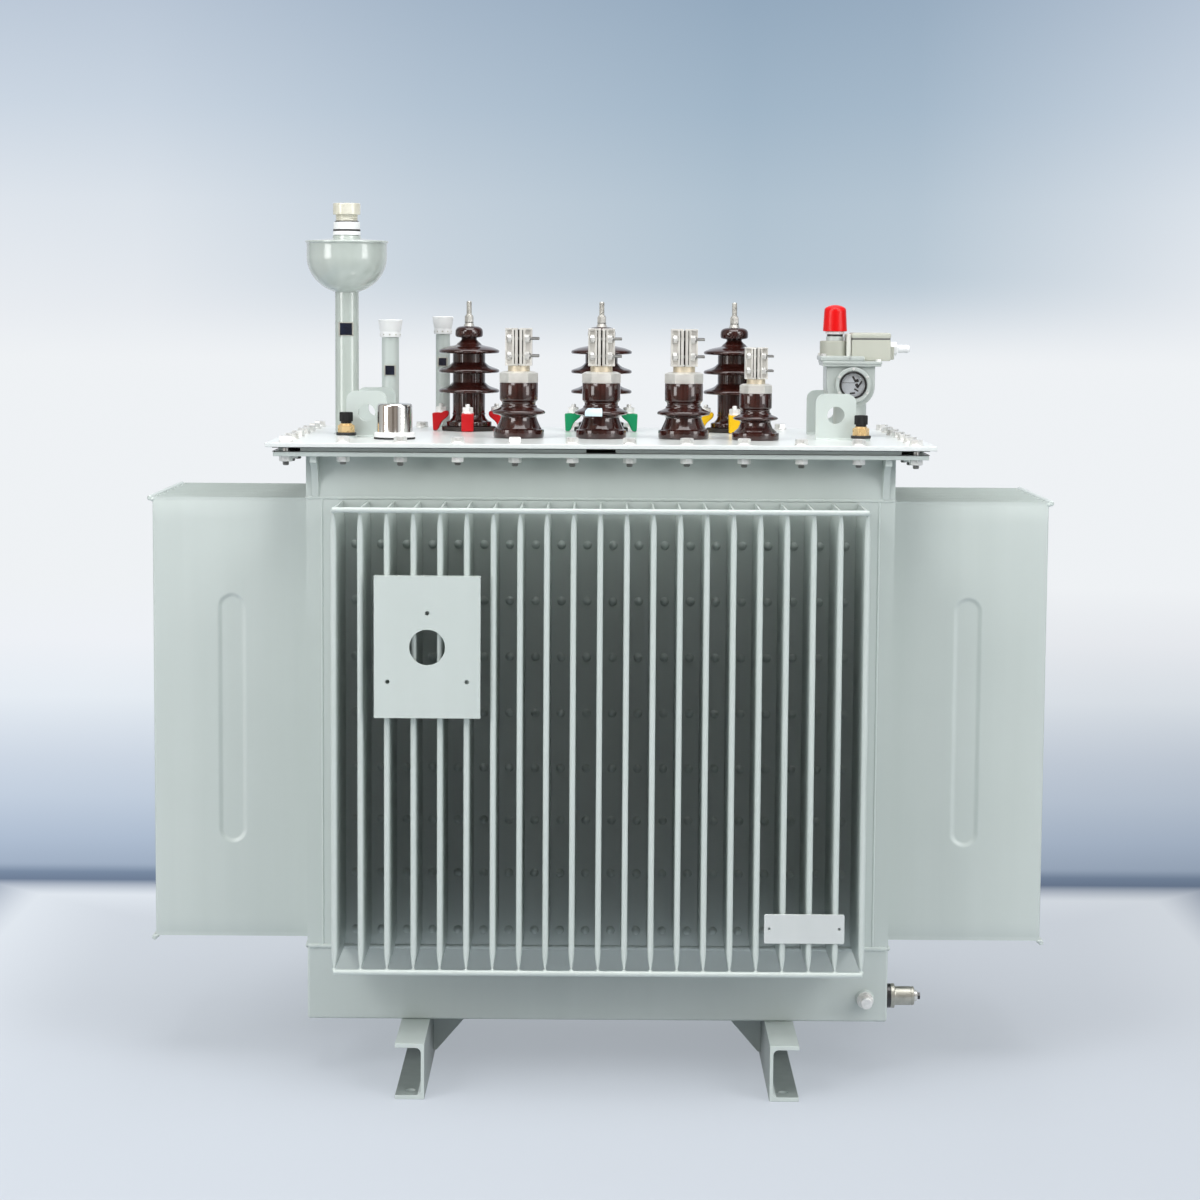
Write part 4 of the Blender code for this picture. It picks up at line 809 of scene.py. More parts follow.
for letter in 'abc':
    foot = Matrix.Translation(foot_of('hv_bushing_' + letter))
    body = bmesh.new()
    turned(body, porcelain, 72, foot)
    made('hv_porcelain_' + letter, body, [brown_glaze], ['hv_bushing_' + letter],
         flat_faces=False)

    clamp = bmesh.new()
    # The clamp ring takes the near-black finish: painted shade at the bushing's foot.
    turned(clamp, [(0.0520, 0.0076), (0.0512, 0.0084), (0.0300, 0.0084), (0.0300, 0.0003),
                   (0.0512, 0.0003), (0.0520, 0.0010)], 72, foot, 1, False)
    boots = bmesh.new()
    for quarter_number in range(4):
        turn = foot @ Matrix.Rotation(quarter * quarter_number, 4, 'Z')
        plate_outline(boots, boot_side, 0.0232, turn, 0.0026)
        nut_place = turn @ Matrix.Translation((0.0535, 0, 0.0355))
        turned(clamp,
               [(0, 0.0018), (0.0110, 0.0018), (0.0114, 0.0012), (0.0114, -0.001), (0, -0.001)], 24,
               nut_place)
        hexagon(clamp, 0.0188, 0.0098, nut_place @ Matrix.Translation((0, 0, 0.0018)), 0,
                fitter.random() * math.tau)
        threaded(clamp, 0.0048, 0.004, 0.0172, 0.0014, nut_place)
    made('hv_clamps_' + letter, clamp, [zinc_with_painted_light, shaded_ring],
         ['hv_clamp_ring_' + letter])
    made('hv_boots_' + letter, boots, [boot_finishes[letter]])

    stud = bmesh.new()
    stud_foot = Matrix.Translation(foot_of('hv_stud_' + letter, False))
    turned(stud,
           [(0, 0.0064), (0.0070, 0.0064), (0.0080, 0.0058), (0.0090, 0.0032), (0.0104, 0.0006),
                  (0.0105, 0.0), (0, 0.0)], 48, stud_foot)
    turned(stud, [(0, 0.0076), (0.0086, 0.0076), (0.0088, 0.0072), (0.0086, 0.0064), (0, 0.0064)],
           32, stud_foot, 1)
    hexagon(stud, 0.0150, 0.0118, stud_foot @ Matrix.Translation((0, 0, 0.0076)), 0, 0.3)
    turned(stud, [(0, 0.0217), (0.0062, 0.0217), (0.0069, 0.0210), (0.0071, 0.0190), (0, 0.0190)],
           32, stud_foot)
    threaded(stud, 0.0053, 0.0205, 0.0475, 0.0015, stud_foot, steps=28)
    made('hv_terminal_' + letter, stud, [stud_steel, ring_steel],
         ['hv_stud_' + letter])

# Low-voltage bushings: short brown porcelain with one shed and a drum-shaped head. On the head sit
# a cast hexagon nut, a brass neck ring and a tinned clamp in two halves, which horizontal bolts
# draw together on the flat bars of the low-voltage busbar.

tinned = finish('tinned casting', (0.70, 0.69, 0.65), (0.84, 0.83, 0.79), 0.42, metallic=0.55,
                fine=420.0, broad=50.0, streaks=0.1, rub=0.08, bump=0.35)
neck_brass = finish('neck brass', (0.58, 0.49, 0.35), (0.74, 0.67, 0.53), 0.42, metallic=0.4,
                    fine=500.0, broad=70.0, bump=0.2)
lv_profile = [(0, 0.1015), (0.0336, 0.1015), (0.0346, 0.1011), (0.0350, 0.1002), (0.0350, 0.0714),
              (0.0346, 0.0696), (0.0330, 0.0676), (0.0314, 0.0662), (0.0308, 0.0648),
              (0.0308, 0.0612), (0.0314, 0.0600), (0.0330, 0.0592), (0.0334, 0.0578),
              (0.0334, 0.0566), (0.0350, 0.0552), (0.0400, 0.0530), (0.0446, 0.0512),
              (0.0474, 0.0498), (0.0486, 0.0482), (0.0487, 0.0466), (0.0480, 0.0450),
              (0.0462, 0.0438), (0.0420, 0.0430), (0.0370, 0.0420), (0.0342, 0.0404),
              (0.0331, 0.0384), (0.0334, 0.0360), (0.0350, 0.0318), (0.0376, 0.0258),
              (0.0406, 0.0196), (0.0424, 0.0168), (0.0436, 0.0162), (0.0454, 0.0160),
              (0.0462, 0.0154), (0.0464, 0.0142), (0.0464, 0.0034), (0.0459, 0.0014),
              (0.0450, 0.0002), (0, 0.0002)]


def turned_to(place, spot, angle, axis):
    """A spot on a placed part, turned by an angle about one of its axes."""
    return place @ Matrix.Translation(spot) @ Matrix.Rotation(angle, 4, axis)


def clamp_terminal(shape, place):
    """Hexagon nut, neck ring and the clamp with its bolts, at the size of the larger ones."""
    hexagon(shape, 0.0612, 0.0206, place)
    turned(shape,
           [(0, 0.0315), (0.0192, 0.0315), (0.0201, 0.0306), (0.0201, 0.0200), (0, 0.0200)], 48,
           place, 1)
    base = 0.0310
    tall = 0.0685
    # The core between the bars is in the near-black ring finish: painted shade in the slits.
    round_block(shape, (0.0260, 0.0330, tall - 0.006), (0, 0, base + tall / 2), place, 0.0005, 4)
    for hand in (-1, 1):
        round_block(shape, (0.0050, 0.0480, tall - 0.002),
                    (hand * 0.0040, 0, base + tall / 2 - 0.001), place, 0.0007)
        round_block(shape, (0.0038, 0.0450, tall - 0.002),
                    (hand * 0.0101, 0, base + tall / 2 - 0.001), place, 0.0007)
        round_block(shape, (0.0120, 0.0340, tall - 0.004), (hand * 0.0178, 0, base + tall / 2),
                    place, 0.0006)
        round_block(shape, (0.0030, 0.0400, tall - 0.004), (hand * 0.0229, 0, base + tall / 2),
                    place, 0.0006)
        for lip in (0.0016, tall - 0.0018):
            round_block(shape, (0.0230, 0.0440, 0.0032), (hand * 0.0130, 0, base + lip),
                        place, 0.0006)
    for height in (0.0180, 0.0495):
        for face in (-1, 1):
            shaft = turned_to(place, (0, face * 0.0190, base + height), quarter, 'Y')
            threaded(shape, 0.0027, -0.0210, 0.0372, 0.0012, shaft, 3, 16)
            hexagon(shape, 0.0128, 0.0078, shaft @ Matrix.Translation((0, 0, 0.0122)), 2, 0.1)
            hexagon(shape, 0.0128, 0.0078, shaft @ Matrix.Translation((0, 0, -0.0206)), 2, 0.2)
            turned(shape, [(0, 0.0010), (0.0080, 0.0010), (0.0080, 0), (0, 0)], 20,
                   shaft @ Matrix.Translation((0, 0, 0.0113)), 2)
            for hand in (-1, 1):
                head = turned_to(place, (hand * 0.0160, 0, base + height), face * -quarter, 'X')
                turned(shape, [(0.0, 0.0182), (0.0068, 0.0182), (0.0068, 0.0160), (0, 0.0160)],
                       20, head, 4)
                hexagon(shape, 0.0088, 0.0040, head @ Matrix.Translation((0, 0, 0.0180)), 2, 0.3)


for letter in ('a', 'b', 'c', 'neutral'):
    node = 'lv_bushing_' + letter
    low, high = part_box(node)
    share = (high.z - low.z) / 0.1015
    foot = Matrix.Translation(foot_of(node)) @ Matrix.Scale(share, 4)
    body = bmesh.new()
    foot_share = 1.11 if letter == 'neutral' else 1.0
    profile = [(radius * foot_share if height < 0.0200 else radius, height)
               for radius, height in lv_profile]
    turned(body, profile, 72, foot)
    made('lv_porcelain_' + letter, body, [brown_glaze], [node], flat_faces=False)
    clamp = bmesh.new()
    clamp_terminal(clamp, foot @ Matrix.Translation((0, 0, 0.1015)))
    made('lv_clamp_' + letter, clamp, [tinned, neck_brass, zinc_plate, ring_steel, shaded_ring],
         ['lv_terminal_' + letter])

# Blank pale tag: a slip of coated paper with nothing on it, stuck to the shed of the middle
# low-voltage bushing, where it bends with the glaze.

tag_paper = finish('tag paper', (0.55, 0.72, 0.80), (0.66, 0.82, 0.88), 0.5, fine=500.0, bump=0.05)
tag = bmesh.new()
tag_foot = foot_of('lv_bushing_b')
tag_rows = [(0.0530, 0.0420), (0.0532, 0.0462), (0.0524, 0.0500), (0.0500, 0.0524),
            (0.0462, 0.0545), (0.0425, 0.0562)]
tag_grid = []
for radius, height in tag_rows:
    tag_grid.append([
        tag_foot + Vector((radius * math.sin(math.radians(angle)),
                           -radius * math.cos(math.radians(angle)), height))
        for angle in range(-34, 3, 4)
    ])
for lift in (0.0, 0.0003):
    sheet = [[tag.verts.new(spot + (spot - tag_foot).normalized() * lift) for spot in row]
             for row in tag_grid]
    for one, two in zip(sheet, sheet[1:]):
        for here in range(len(one) - 1):
            tag.faces.new((one[here], one[here + 1], two[here + 1], two[here]))
made('blank_tag', tag, [tag_paper], crease=60.0)

# Lifting lugs: 10 mm steel plate cut with round shoulders and a shackle hole. Each stands upright
# on the cover, welded along both faces of its foot and painted with the tank.

for row in ('front', 'back'):
    for side in ('left', 'right'):
        eased('lifting_lug_' + row + '_' + side, 0.0009, tank_paint, angle=50.0)
lug_welds = bmesh.new()
for row in ('front', 'back'):
    for side in ('left', 'right'):
        low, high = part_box('lifting_lug_' + row + '_' + side)
        for face, reach in ((-1, low.y), (1, high.y)):
            weld_bead(lug_welds, (low.x, reach, cover_top + 0.0012),
                      (high.x, reach, cover_top + 0.0012),
                      Vector((0, face * 0.8, 0.6)), 0.0060, 0.0022, welder)
made('lug_welds', lug_welds, [tank_paint], crease=60.0)

# Expansion bowl: spun steel on a tube that stands on the cover, closed by a flat painted lid. The
# breather on the lid is a clear ribbed plastic cup, held between two dark seals.

dark_glass = finish('dark glass', (0.004, 0.006, 0.014), (0.012, 0.020, 0.045), 0.06, coat=1.0,
                    broad=120.0, bump=0.0)
window_trim = finish('window trim', (0.50, 0.50, 0.44), (0.66, 0.66, 0.60), 0.35, metallic=0.6,
                     broad=90.0)
clear_plastic = finish('aged clear plastic', (0.62, 0.60, 0.46), (0.80, 0.78, 0.68), 0.22, coat=0.6,
                       fine=300.0, broad=40.0, streaks=0.6, bump=0.08)
gloss_paint = finish('gloss paint', (0.440, 0.495, 0.455), (0.510, 0.565, 0.525), 0.20, coat=0.9,
                     fine=420.0, broad=5.0, streak_scale=60.0, streaks=0.5, bump=0.06)
bowl_foot = Matrix.Translation(foot_of('expansion_bowl'))
bowl_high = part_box('expansion_bowl')[1]
bowl_top = bowl_high.z - cover_top
rim_height = bowl_top - 0.0135
bowl_shape = bmesh.new()
bowl_outline = [(0, bowl_top), (0.0235, bowl_top), (0.0256, bowl_top - 0.0008),
                (0.0262, bowl_top - 0.0026),
                (0.0266, bowl_top - 0.0052), (0.0300, bowl_top - 0.0064),
                (0.0500, bowl_top - 0.0082),
                (0.0700, bowl_top - 0.0096), (0.0768, bowl_top - 0.0104),
                (0.0776, bowl_top - 0.0116),
                (0.0776, bowl_top - 0.0132), (0.0768, bowl_top - 0.0142),
                (0.0752, bowl_top - 0.0152), (0.0748, bowl_top - 0.0180)]
belly_top = rim_height - 0.026
pipe_top = 0.2645
belly_start = math.acos(0.0222 / 0.075)
belly_depth = (belly_top - pipe_top) / math.sin(belly_start)
for step in range(19):
    angle = belly_start * step / 18
    bowl_outline.append((0.075 * math.cos(angle), belly_top - belly_depth * math.sin(angle)))
bowl_outline += [(0.0224, pipe_top - 0.0012), (0.0222, pipe_top - 0.0035)]
bowl_outline += [(0.0222, 0.0030), (0.0236, 0.0016), (0.0262, 0.0002), (0, 0.0002)]
turned(bowl_shape, bowl_outline, 96, bowl_foot)
made('expansion_vessel', bowl_shape, [gloss_paint], ['expansion_bowl'],
     flat_faces=False)


def sight_window(shape, foot, radius, width, tall, height):
    """A small upright glass with its pale frame, let into the front of a tube."""
    reach = math.sqrt(radius * radius - (width / 2) ** 2) - 0.0014
    trim = radius + 0.0004 - reach
    round_block(shape, (width + 0.0050, trim, tall + 0.0030), (0, -reach - trim / 2, height), foot,
                0.0006, 0)
    glass = radius + 0.0011 - reach
    round_block(shape, (width, glass, tall), (0, -reach - glass / 2, height), foot, 0.0005, 1)


windows = bmesh.new()
sight_window(windows, bowl_foot, 0.0222, 0.0226, 0.0222, 0.196)
for letter, glass, height in (('a', 0.0178, 0.1150), ('b', 0.0150, 0.1305)):
    low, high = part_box('oil_gauge_tube_' + letter)
    gauge_foot = Matrix.Translation(foot_of('oil_gauge_tube_' + letter))
    sight_window(windows, gauge_foot, (high.x - low.x) / 2, glass, glass, height)
made('sight_windows', windows, [window_trim, dark_glass])

breather = bmesh.new()
breather_foot = Matrix.Translation(foot_of('breather_cap', False))
turned(breather, [(0, 0.0588), (0.0238, 0.0588), (0.0252, 0.0580), (0.0257, 0.0564),
                  (0.0255, 0.0384), (0.0248, 0.0374), (0.0205, 0.0370), (0, 0.0370)], 64,
                  breather_foot, 0)
cup = [(0, 0.0372), (0.0212, 0.0372)]
for rib in range(3):
    height = 0.0364 - rib * 0.0036
    cup += [(0.0200, height), (0.0206, height - 0.0006), (0.0206, height - 0.0022),
            (0.0198, height - 0.0028)]
cup += [(0.0198, 0.0250), (0, 0.0250)]
turned(breather, cup, 64, breather_foot, 0)
turned(breather,
       [(0, 0.0256), (0.0222, 0.0256), (0.0226, 0.0248), (0.0222, 0.0238), (0, 0.0238)], 48,
       breather_foot, 1)
turned(breather, [(0, 0.0240), (0.0236, 0.0240), (0.0244, 0.0232), (0.0246, 0.0110),
                  (0.0240, 0.0100), (0, 0.0100)],
       64, breather_foot, 2)
turned(breather,
       [(0, 0.0104), (0.0250, 0.0104), (0.0254, 0.0092), (0.0250, 0.0070), (0, 0.0070)], 48,
       breather_foot, 1)
turned(breather, [(0, 0.0072), (0.0248, 0.0072), (0.0254, 0.0060), (0.0256, 0.0012),
                  (0.0262, 0.0002), (0, 0.0002)],
       64, breather_foot, 2)
white_plastic = finish('white plastic', (0.86, 0.87, 0.87), (0.92, 0.93, 0.93), 0.36, coat=0.1,
                       fine=500.0, broad=20.0, bump=0.06)
made('breather', breather, [clear_plastic, seal_rubber, white_plastic],
     ['breather_cap'])

# Oil gauges: two painted tubes with a small dark sight glass and a flared white plastic cap, whose
# collar is held by a ring of small screws.

for letter in 'ab':
    low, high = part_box('oil_gauge_tube_' + letter)
    radius = (high.x - low.x) / 2
    tall = high.z - cover_top
    gauge_foot = Matrix.Translation(foot_of('oil_gauge_tube_' + letter))
    tube = bmesh.new()
    turned(tube, [(0, tall), (radius - 0.0006, tall), (radius, tall - 0.0006), (radius, 0.0030),
                  (radius + 0.0012, 0.0016), (radius + 0.0036, 0.0002), (0, 0.0002)], 48,
                  gauge_foot)
    made('gauge_tube_' + letter, tube, [tank_paint], ['oil_gauge_tube_' + letter])
    cap_low, cap_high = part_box('oil_gauge_cap_' + letter)
    cap_foot = Matrix.Translation(foot_of('oil_gauge_cap_' + letter, False))
    cap_tall = cap_high.z - cap_low.z
    flare = (cap_high.x - cap_low.x) / 2
    cap = bmesh.new()
    turned(cap, [(0, cap_tall - 0.0030), (flare - 0.0040, cap_tall - 0.0024),
                 (flare - 0.0026, cap_tall - 0.0004),
                 (flare - 0.0014, cap_tall), (flare - 0.0003, cap_tall - 0.0008),
                 (flare, cap_tall - 0.0022),
                 (radius + 0.0042, 0.0150), (radius + 0.0032, 0.0112), (radius + 0.0028, 0.0104),
                 (radius + 0.0034, 0.0098), (radius + 0.0034, 0.0010), (radius + 0.0026, 0.0),
                 (0, 0.0)], 64, cap_foot)
    for number in range(10):
        turn = Matrix.Rotation(math.tau * (number + 0.5) / 10, 4, 'Z')
        screw = turned_to(cap_foot @ turn, (radius + 0.0031, 0, 0.0052), quarter, 'Y')
        turned(cap, [(0, 0.0008), (0.0012, 0.0008), (0.0016, 0.0004), (0.0016, -0.0010),
                     (0, -0.0010)], 12,
               screw, 1)
    made('gauge_cap_' + letter, cap, [white_plastic, window_trim],
         ['oil_gauge_cap_' + letter])

# Tap changer: its handle is hidden under a polished steel cap, which stands on a white flange and
# a black seal.

polished_steel = finish('polished steel', (0.74, 0.73, 0.71), (0.84, 0.83, 0.81), 0.12,
                        metallic=1.0,
                        fine=900.0, broad=30.0, streak_scale=220.0, streaks=0.9, rub=0.04,
                        bump=0.02)
cap_place = Matrix.Translation(foot_of('tap_changer_cap'))
tap = bmesh.new()
turned(tap, [(0, 0.0645), (0.0262, 0.0645), (0.0286, 0.0641), (0.0303, 0.0630), (0.0314, 0.0612),
             (0.0319, 0.0584), (0.0319, 0.0125), (0, 0.0125)], 96, cap_place, 0)
turned(tap, [(0, 0.0128), (0.0352, 0.0128), (0.0368, 0.0120), (0.0374, 0.0106), (0.0374, 0.0046),
             (0.0368, 0.0036), (0, 0.0036)], 72, cap_place, 1)
turned(tap, [(0, 0.0038), (0.0370, 0.0038), (0.0376, 0.0020), (0.0370, 0.0002), (0, 0.0002)], 72,
       cap_place, 2)
made('tap_changer_cover', tap, [polished_steel, white_plastic, seal_rubber],
     ['tap_changer_cap'])

# Vent plugs: a turned brass hexagon, screwed down on a dark washer over a boss that is welded to
# the cover. A knurled black plastic cap closes it.

yellow_brass = finish('yellow brass', (0.80, 0.54, 0.24), (0.92, 0.68, 0.36), 0.28, metallic=0.55,
                      fine=500.0, broad=60.0, rub=0.06, bump=0.12)
black_plastic = finish('black plastic', (0.006, 0.006, 0.007), (0.014, 0.014, 0.015), 0.50,
                       fine=700.0, bump=0.15, shine=0.3)
for side in ('left', 'right'):
    node = 'vent_plug_' + side
    plug_foot = Matrix.Translation(foot_of(node))
    plug = bmesh.new()
    turned(plug, [(0, 0.0048), (0.0160, 0.0048), (0.0172, 0.0036), (0.0176, 0.0002), (0, 0.0002)],
           40, plug_foot, 3)
    turned(plug, [(0, 0.0098), (0.0178, 0.0098), (0.0183, 0.0092), (0.0183, 0.0056),
                  (0.0178, 0.0047), (0, 0.0047)],
           40, plug_foot, 1)
    hexagon(plug, 0.0264, 0.0144, plug_foot @ Matrix.Translation((0, 0, 0.0096)), 0,
            math.radians(4))
    turned(plug, [(0, 0.0262), (0.0104, 0.0262), (0.0112, 0.0254), (0.0112, 0.0230), (0, 0.0230)],
           40, plug_foot, 0)
    turned(plug, [(0, 0.0304), (0.0098, 0.0304), (0.0098, 0.0258), (0, 0.0258)], 40, plug_foot, 2)
    cap_base = 0.0296
    knurls = 30
    rings = []
    for radius, height in ((0.0112, 0.0), (0.0123, 0.0006), (0.0123, 0.0154), (0.0114, 0.0169),
                           (0.0060, 0.0174)):
        ring = []
        for step in range(knurls * 2):
            ridge = 0.0008 if step % 2 and 0.0004 < height < 0.0160 else 0.0
            angle = math.tau * step / (knurls * 2)
            ring.append(plug.verts.new(plug_foot @ Vector((
                (radius - ridge) * math.cos(angle),
                (radius - ridge) * math.sin(angle), cap_base + height
            ))))
        rings.append(ring)
    for one, two in zip(rings, rings[1:]):
        for step in range(knurls * 2):
            after = (step + 1) % (knurls * 2)
            plug.faces.new((one[step], one[after], two[after], two[step])).material_index = 2
    plug.faces.new(rings[0][::-1]).material_index = 2
    plug.faces.new(rings[-1]).material_index = 2
    made(node + '_fitting', plug, [yellow_brass, seal_rubber, black_plastic, tank_paint],
         [node])

# Protection relay: a cast and painted body on a pipe neck, with a round sight window front and
# back, a two-step top flange, a grey drum, a beige terminal box with its cable gland, and a red
# push cap over the test pin.

beige_plastic = finish('beige plastic', (0.480, 0.492, 0.425), (0.530, 0.542, 0.470), 0.40,
                       fine=600.0, broad=12.0, bump=0.12)
red_plastic = finish('red cap plastic', (0.66, 0.002, 0.003), (0.76, 0.005, 0.006), 0.30, coat=0.05,
                     fine=400.0, broad=20.0, bump=0.05, shine=0.3)
ring_black = finish('ring black', (0.008, 0.008, 0.009), (0.020, 0.020, 0.021), 0.3, coat=0.4,
                    bump=0.05)
relay_paint = finish('relay paint', (0.450, 0.492, 0.470), (0.505, 0.548, 0.524), 0.34, coat=0.15,
                     fine=420.0, broad=8.0, streak_scale=60.0, streaks=0.5, bump=0.10)
relay_low, relay_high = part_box('relay_body')
relay_x = relay_high.x - 0.0595
relay_y = (relay_low.y + relay_high.y) / 2
relay = Matrix.Translation((relay_x, relay_y, cover_top + 0.0003))
relay_bottom = 0.0560
relay_deck = 0.1322
eye_height = relay_bottom + 0.0417
casting = bmesh.new()
body_outline = [(0.0484, relay_deck + 0.001), (-0.0426, relay_deck + 0.001)]
for start, centre_x in ((180, -0.0036), (270, 0.0094)):
    for step in range(13):
        angle = math.radians(start + 90 * step / 12)
        body_outline.append((centre_x + 0.039 * math.cos(angle),
                             relay_bottom + 0.039 + 0.039 * math.sin(angle)))
plate_outline(casting, body_outline, 0.0900, relay, 0.0035)
turned(casting, [(0.0310, 0.0640), (0.0310, 0.0050), (0.0340, 0.0022), (0.0362, 0.0002)], 64,
       relay @ Matrix.Translation((0.0055, 0, 0)))
round_block(casting, (0.1090, 0.1060, 0.0052), (0.0047, 0, relay_deck + 0.0026), relay, 0.0014)
round_block(casting, (0.1116, 0.1100, 0.0054), (0.0047, 0, relay_deck + 0.0071), relay, 0.0018)
deck = relay_deck + 0.0098
round_block(casting, (0.0584, 0.1000, 0.0095), (-0.0252, 0, deck + 0.0047), relay, 0.0026)
for face in (-1, 1):
    round_block(casting, (0.0310, 0.0136, 0.0095), (0.0125, face * 0.0432, deck + 0.0047),
                relay, 0.0026)
drum_foot = deck + 0.0095
turned(casting, [(0, 0.0278), (0.0240, 0.0278), (0.0256, 0.0272), (0.0265, 0.0256),
                 (0.0265, -0.0005), (0, -0.0005)],
       64, relay @ Matrix.Translation((-0.0260, 0, drum_foot)), 1)
for across, base in ((-0.0480, drum_foot), (0.0540, deck)):
    for face in (-1, 1):
        spot = relay @ Matrix.Translation((across, face * 0.0420, base))
        hexagon(casting, 0.0095, 0.0040, spot, 2, fitter.random() * math.tau)
for face in (-1, 1):
    eye = turned_to(relay, (0.0071, face * 0.0440, eye_height), -face * quarter, 'X')
    turned(casting, [(0.0258, 0.0086), (0.0266, 0.0094), (0.0318, 0.0094), (0.0330, 0.0086),
                     (0.0336, 0.0070), (0.0336, -0.002)], 72, eye, 0)
    for number in range(6):
        angle = math.radians(30 + 60 * number)
        screw = eye @ Matrix.Translation((0.0297 * math.cos(angle),
                                          0.0297 * math.sin(angle), 0.0092))
        hexagon(casting, 0.0046, 0.0016, screw, 2, angle)
drum_grey = finish('drum grey', (0.400, 0.410, 0.350), (0.450, 0.460, 0.400), 0.42, fine=600.0,
                   broad=12.0, bump=0.12)
made('relay_casting', casting, [relay_paint, drum_grey, zinc_plate], ['relay_body'])

relay_eye = bmesh.new()
for face in (-1, 1):
    eye = turned_to(relay, (0.0071, face * 0.0440, eye_height), -face * quarter, 'X')
    turned(relay_eye, [(0.0216, 0.0060), (0.0220, 0.0100), (0.0244, 0.0104), (0.0252, 0.0096),
                       (0.0252, 0.0020), (0.0216, 0.0020)], 72, eye, 0, False)
    turned(relay_eye, [(0, 0.0024), (0.0218, 0.0024), (0.0218, 0.0010), (0, 0.0010)], 64, eye, 1)
    for size, spot, lean in (((0.0034, 0.0120, 0.0022), (0.0020, 0.0105, 0.0036), 0.5),
                             ((0.0052, 0.0056, 0.0022), (0.0075, 0.0080, 0.0036), 0.3),
                             ((0.0030, 0.0150, 0.0020), (0.0120, 0.0010, 0.0036), -0.6),
                             ((0.0058, 0.0078, 0.0020), (0.0075, -0.0010, 0.0036), 0.6),
                             ((0.0090, 0.0026, 0.0020), (0.0060, -0.0092, 0.0036), -0.5),
                             ((0.0100, 0.0034, 0.0018), (-0.0010, -0.0150, 0.0036), 0.15)):
        place = eye @ Matrix.Translation(spot) @ Matrix.Rotation(lean, 4, 'Z')
        round_block(relay_eye, size, (0, 0, 0), place, 0.0008, 0)
    round_block(relay_eye, (0.0240, 0.0007, 0.0006), (-0.0080, 0.0040, 0.0028), eye, 0.0, 0)
pale_dial = finish('pale dial', (0.70, 0.72, 0.74), (0.86, 0.88, 0.90), 0.3, broad=80.0,
                   streaks=0.1, bump=0.0)
made('relay_sight_rings', relay_eye, [ring_black, pale_dial])
clear_glass = bpy.data.materials.new('clear glass')
clear_glass.use_nodes = True
glass_tree = clear_glass.node_tree
fed(glass_tree, glass_tree.nodes['Principled BSDF'], {
    'Base Color': (0.96, 0.98, 1.0, 1.0), 'Roughness': 0.02, 'IOR': 1.45,
    'Transmission Weight': 1.0,
})
lenses = bmesh.new()
for face in (-1, 1):
    eye = turned_to(relay, (0.0071, face * 0.0440, eye_height), -face * quarter, 'X')
    turned(lenses, [(0, 0.0096), (0.0110, 0.0092), (0.0180, 0.0082), (0.0221, 0.0068),
                    (0.0221, 0.0060), (0, 0.0060)],
           48, eye)
made('relay_lenses', lenses, [clear_glass])

box_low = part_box('relay_terminal_box')[0]
terminal_box = bmesh.new()
box_place = Matrix.Translation((relay_x + 0.0413, relay_y, box_low.z))
round_block(terminal_box, (0.0726, 0.0700, 0.0396), (0, 0, 0.0198), box_place, 0.0020)
round_block(terminal_box, (0.0712, 0.0686, 0.0050), (0, 0, 0.0402), box_place, 0.0, 3)
round_block(terminal_box, (0.0738, 0.0712, 0.0106), (0, 0, 0.0469), box_place, 0.0034)
for face in (-1, 1):
    round_block(terminal_box, (0.0094, 0.0136, 0.0500), (-0.0412, face * 0.0236, 0.0252), box_place,
                0.0030, 4)
gland = turned_to(box_place, (0.0363, 0, 0.0224), quarter, 'Y')
round_block(terminal_box, (0.0094, 0.0300, 0.0242), (0.0400, 0, 0.0142), box_place, 0.0014)
hexagon(terminal_box, 0.0226, 0.0152, gland @ Matrix.Translation((0, 0, 0.0004)), 1, 0.2)
turned(terminal_box, [(0, 0.0387), (0.0050, 0.0387), (0.0065, 0.0380), (0.0073, 0.0362),
                      (0.0076, 0.0290), (0.0069, 0.0262), (0.0075, 0.0240), (0.0075, 0.0140),
                      (0, 0.0140)], 40, gland, 1)
strap_plastic = finish('strap plastic', (0.640, 0.650, 0.600), (0.700, 0.710, 0.660), 0.38,
                       fine=600.0, bump=0.1)
lid_seal = finish('lid seal', (0.10, 0.10, 0.09), (0.16, 0.16, 0.15), 0.6, fine=600.0, bump=0.1)
made('terminal_box', terminal_box,
     [beige_plastic, white_plastic, ring_black, lid_seal, strap_plastic],
     ['relay_terminal_box'])

cap_low, cap_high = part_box('relay_red_cap')
push_cap = bmesh.new()
cap_place = Matrix.Translation(foot_of('relay_red_cap', False) + Vector((0.0036, 0, 0)))
turned(push_cap, [(0, 0.0078), (0.0158, 0.0078), (0.0165, 0.0070), (0.0165, 0.0), (0, 0.0)], 56,
       cap_place, 1)
turned(push_cap, [(0, 0.0122), (0.0150, 0.0122), (0.0150, 0.0076), (0, 0.0076)], 48, cap_place, 2)
turned(push_cap, [(0, 0.0176), (0.0170, 0.0176), (0.0177, 0.0168), (0.0175, 0.0124),
                  (0.0165, 0.0117), (0, 0.0117)],
       56, cap_place, 3)
cap_tall = cap_high.z - cap_low.z
turned(push_cap, [(0, cap_tall), (0.0060, cap_tall - 0.0005), (0.0120, cap_tall - 0.0021),
                  (0.0164, cap_tall - 0.0040), (0.0190, cap_tall - 0.0060),
                  (0.0202, cap_tall - 0.0084),
                  (0.0207, cap_tall - 0.0120), (0.0226, 0.0192), (0.0226, 0.0180), (0.0214, 0.0171),
                  (0, 0.0171)],
       72, cap_place, 0)
made('red_push_cap', push_cap, [red_plastic, tank_paint, ring_black, white_plastic],
     ['relay_red_cap'])

# Thermometer plate: folded sheet steel, cut for the round instrument and its three screws, with its
# returns welded to the noses of four fins.

eased('thermometer_plate', 0.0008, tank_paint)

# Nameplate carrier: a bare plate of lacquered sheet metal with nothing on it, punched with a screw
# hole at each end and fixed flat on the noses of the front fins.

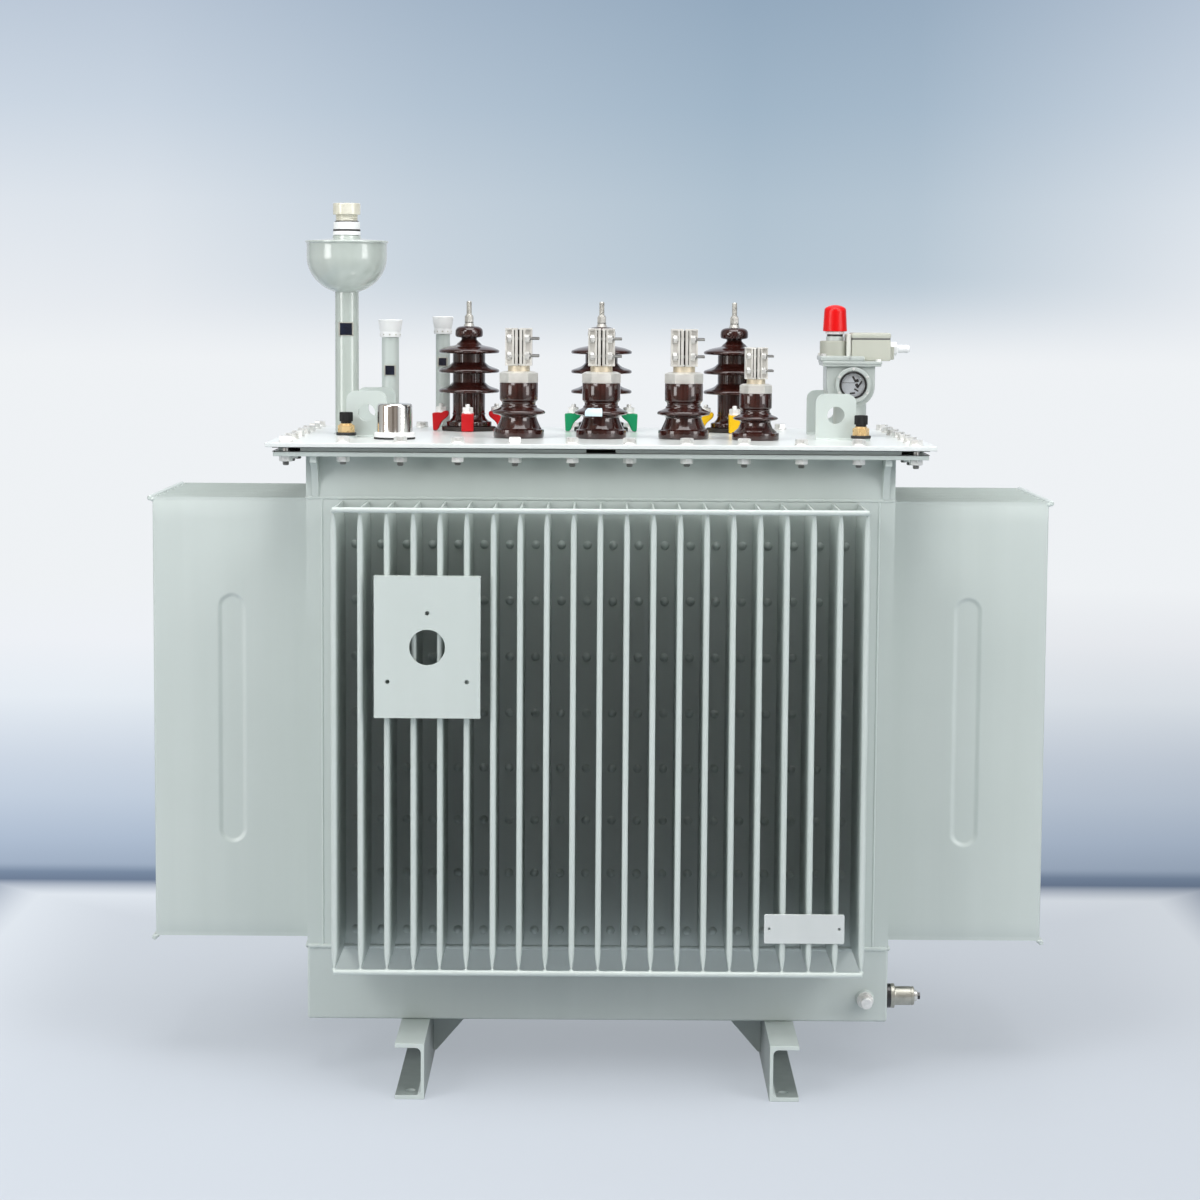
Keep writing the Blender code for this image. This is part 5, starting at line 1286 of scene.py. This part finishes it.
plate_finish = finish('plate lacquer', (0.575, 0.610, 0.600), (0.625, 0.655, 0.648), 0.30, coat=0.2,
                      fine=700.0, broad=12.0, bump=0.06)
eased('nameplate', 0.0005, plate_finish, 1)

# Drain valve: a turned steel body on a gasketed flange at the foot of the tank's right side, closed
# by a square-headed plug.

valve_steel = finish('valve steel', (0.40, 0.395, 0.345), (0.56, 0.55, 0.49), 0.36, metallic=0.75,
                     fine=400.0, broad=70.0, streaks=0.1, bump=0.2)
valve_low, valve_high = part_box('drain_valve')
valve_mid = (valve_low + valve_high) / 2
valve_seat = Matrix.Translation((valve_low.x, valve_mid.y, valve_mid.z))
valve_place = valve_seat @ Matrix.Rotation(quarter, 4, 'Y')
valve = bmesh.new()
turned(valve, [(0, 0.0108), (0.0218, 0.0108), (0.0222, 0.0100), (0.0222, 0.0002), (0, 0.0002)], 56,
       valve_place, 1)
turned(valve, [(0, 0.0181), (0.0216, 0.0181), (0.0225, 0.0172), (0.0225, 0.0116), (0.0216, 0.0106),
               (0, 0.0106)],
       56, valve_place, 0)
turned(valve, [(0, 0.0540), (0.0158, 0.0540), (0.0170, 0.0529), (0.0172, 0.0510), (0.0172, 0.0492),
               (0.0167, 0.0487), (0.0167, 0.0474), (0.0172, 0.0469), (0.0172, 0.0200),
               (0.0180, 0.0180), (0, 0.0180)], 56,
       valve_place, 0)
turned(valve, [(0, 0.0602), (0.0094, 0.0602), (0.0101, 0.0594), (0.0101, 0.0538), (0, 0.0538)], 40,
       valve_place, 2)
hexagon(valve, 0.0126, 0.0055, valve_place @ Matrix.Translation((0, 0, 0.0600)), 1, 0.3)
made('drain_fitting', valve, [valve_steel, ring_black, zinc_plate], ['drain_valve'])

# Earth bolt: a zinc-plated bolt through a boss welded to the front of the trough, with its washer,
# nut and lock nut.

earth_low, earth_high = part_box('earth_bolt')
earth_mid = (earth_low + earth_high) / 2
earth_seat = Matrix.Translation((earth_mid.x, earth_high.y, earth_mid.z))
earth_place = earth_seat @ Matrix.Rotation(quarter, 4, 'X')
earth = bmesh.new()
turned(earth, [(0, 0.0112), (0.0150, 0.0112), (0.0158, 0.0104), (0.0160, 0.0020), (0.0172, 0.0002),
               (0, 0.0002)], 48,
       earth_place, 1)
turned(earth, [(0, 0.0136), (0.0148, 0.0136), (0.0152, 0.0130), (0.0152, 0.0111), (0, 0.0111)], 40,
       earth_place, 0)
hexagon(earth, 0.0250, 0.0125, earth_place @ Matrix.Translation((0, 0, 0.0135)), 0, 0.35)
turned(earth, [(0, 0.0418), (0.0090, 0.0418), (0.0102, 0.0408), (0.0104, 0.0390), (0.0104, 0.0250),
               (0, 0.0250)], 40,
       earth_place, 0)
made('earth_fitting', earth, [zinc_plate, tank_paint], ['earth_bolt'])
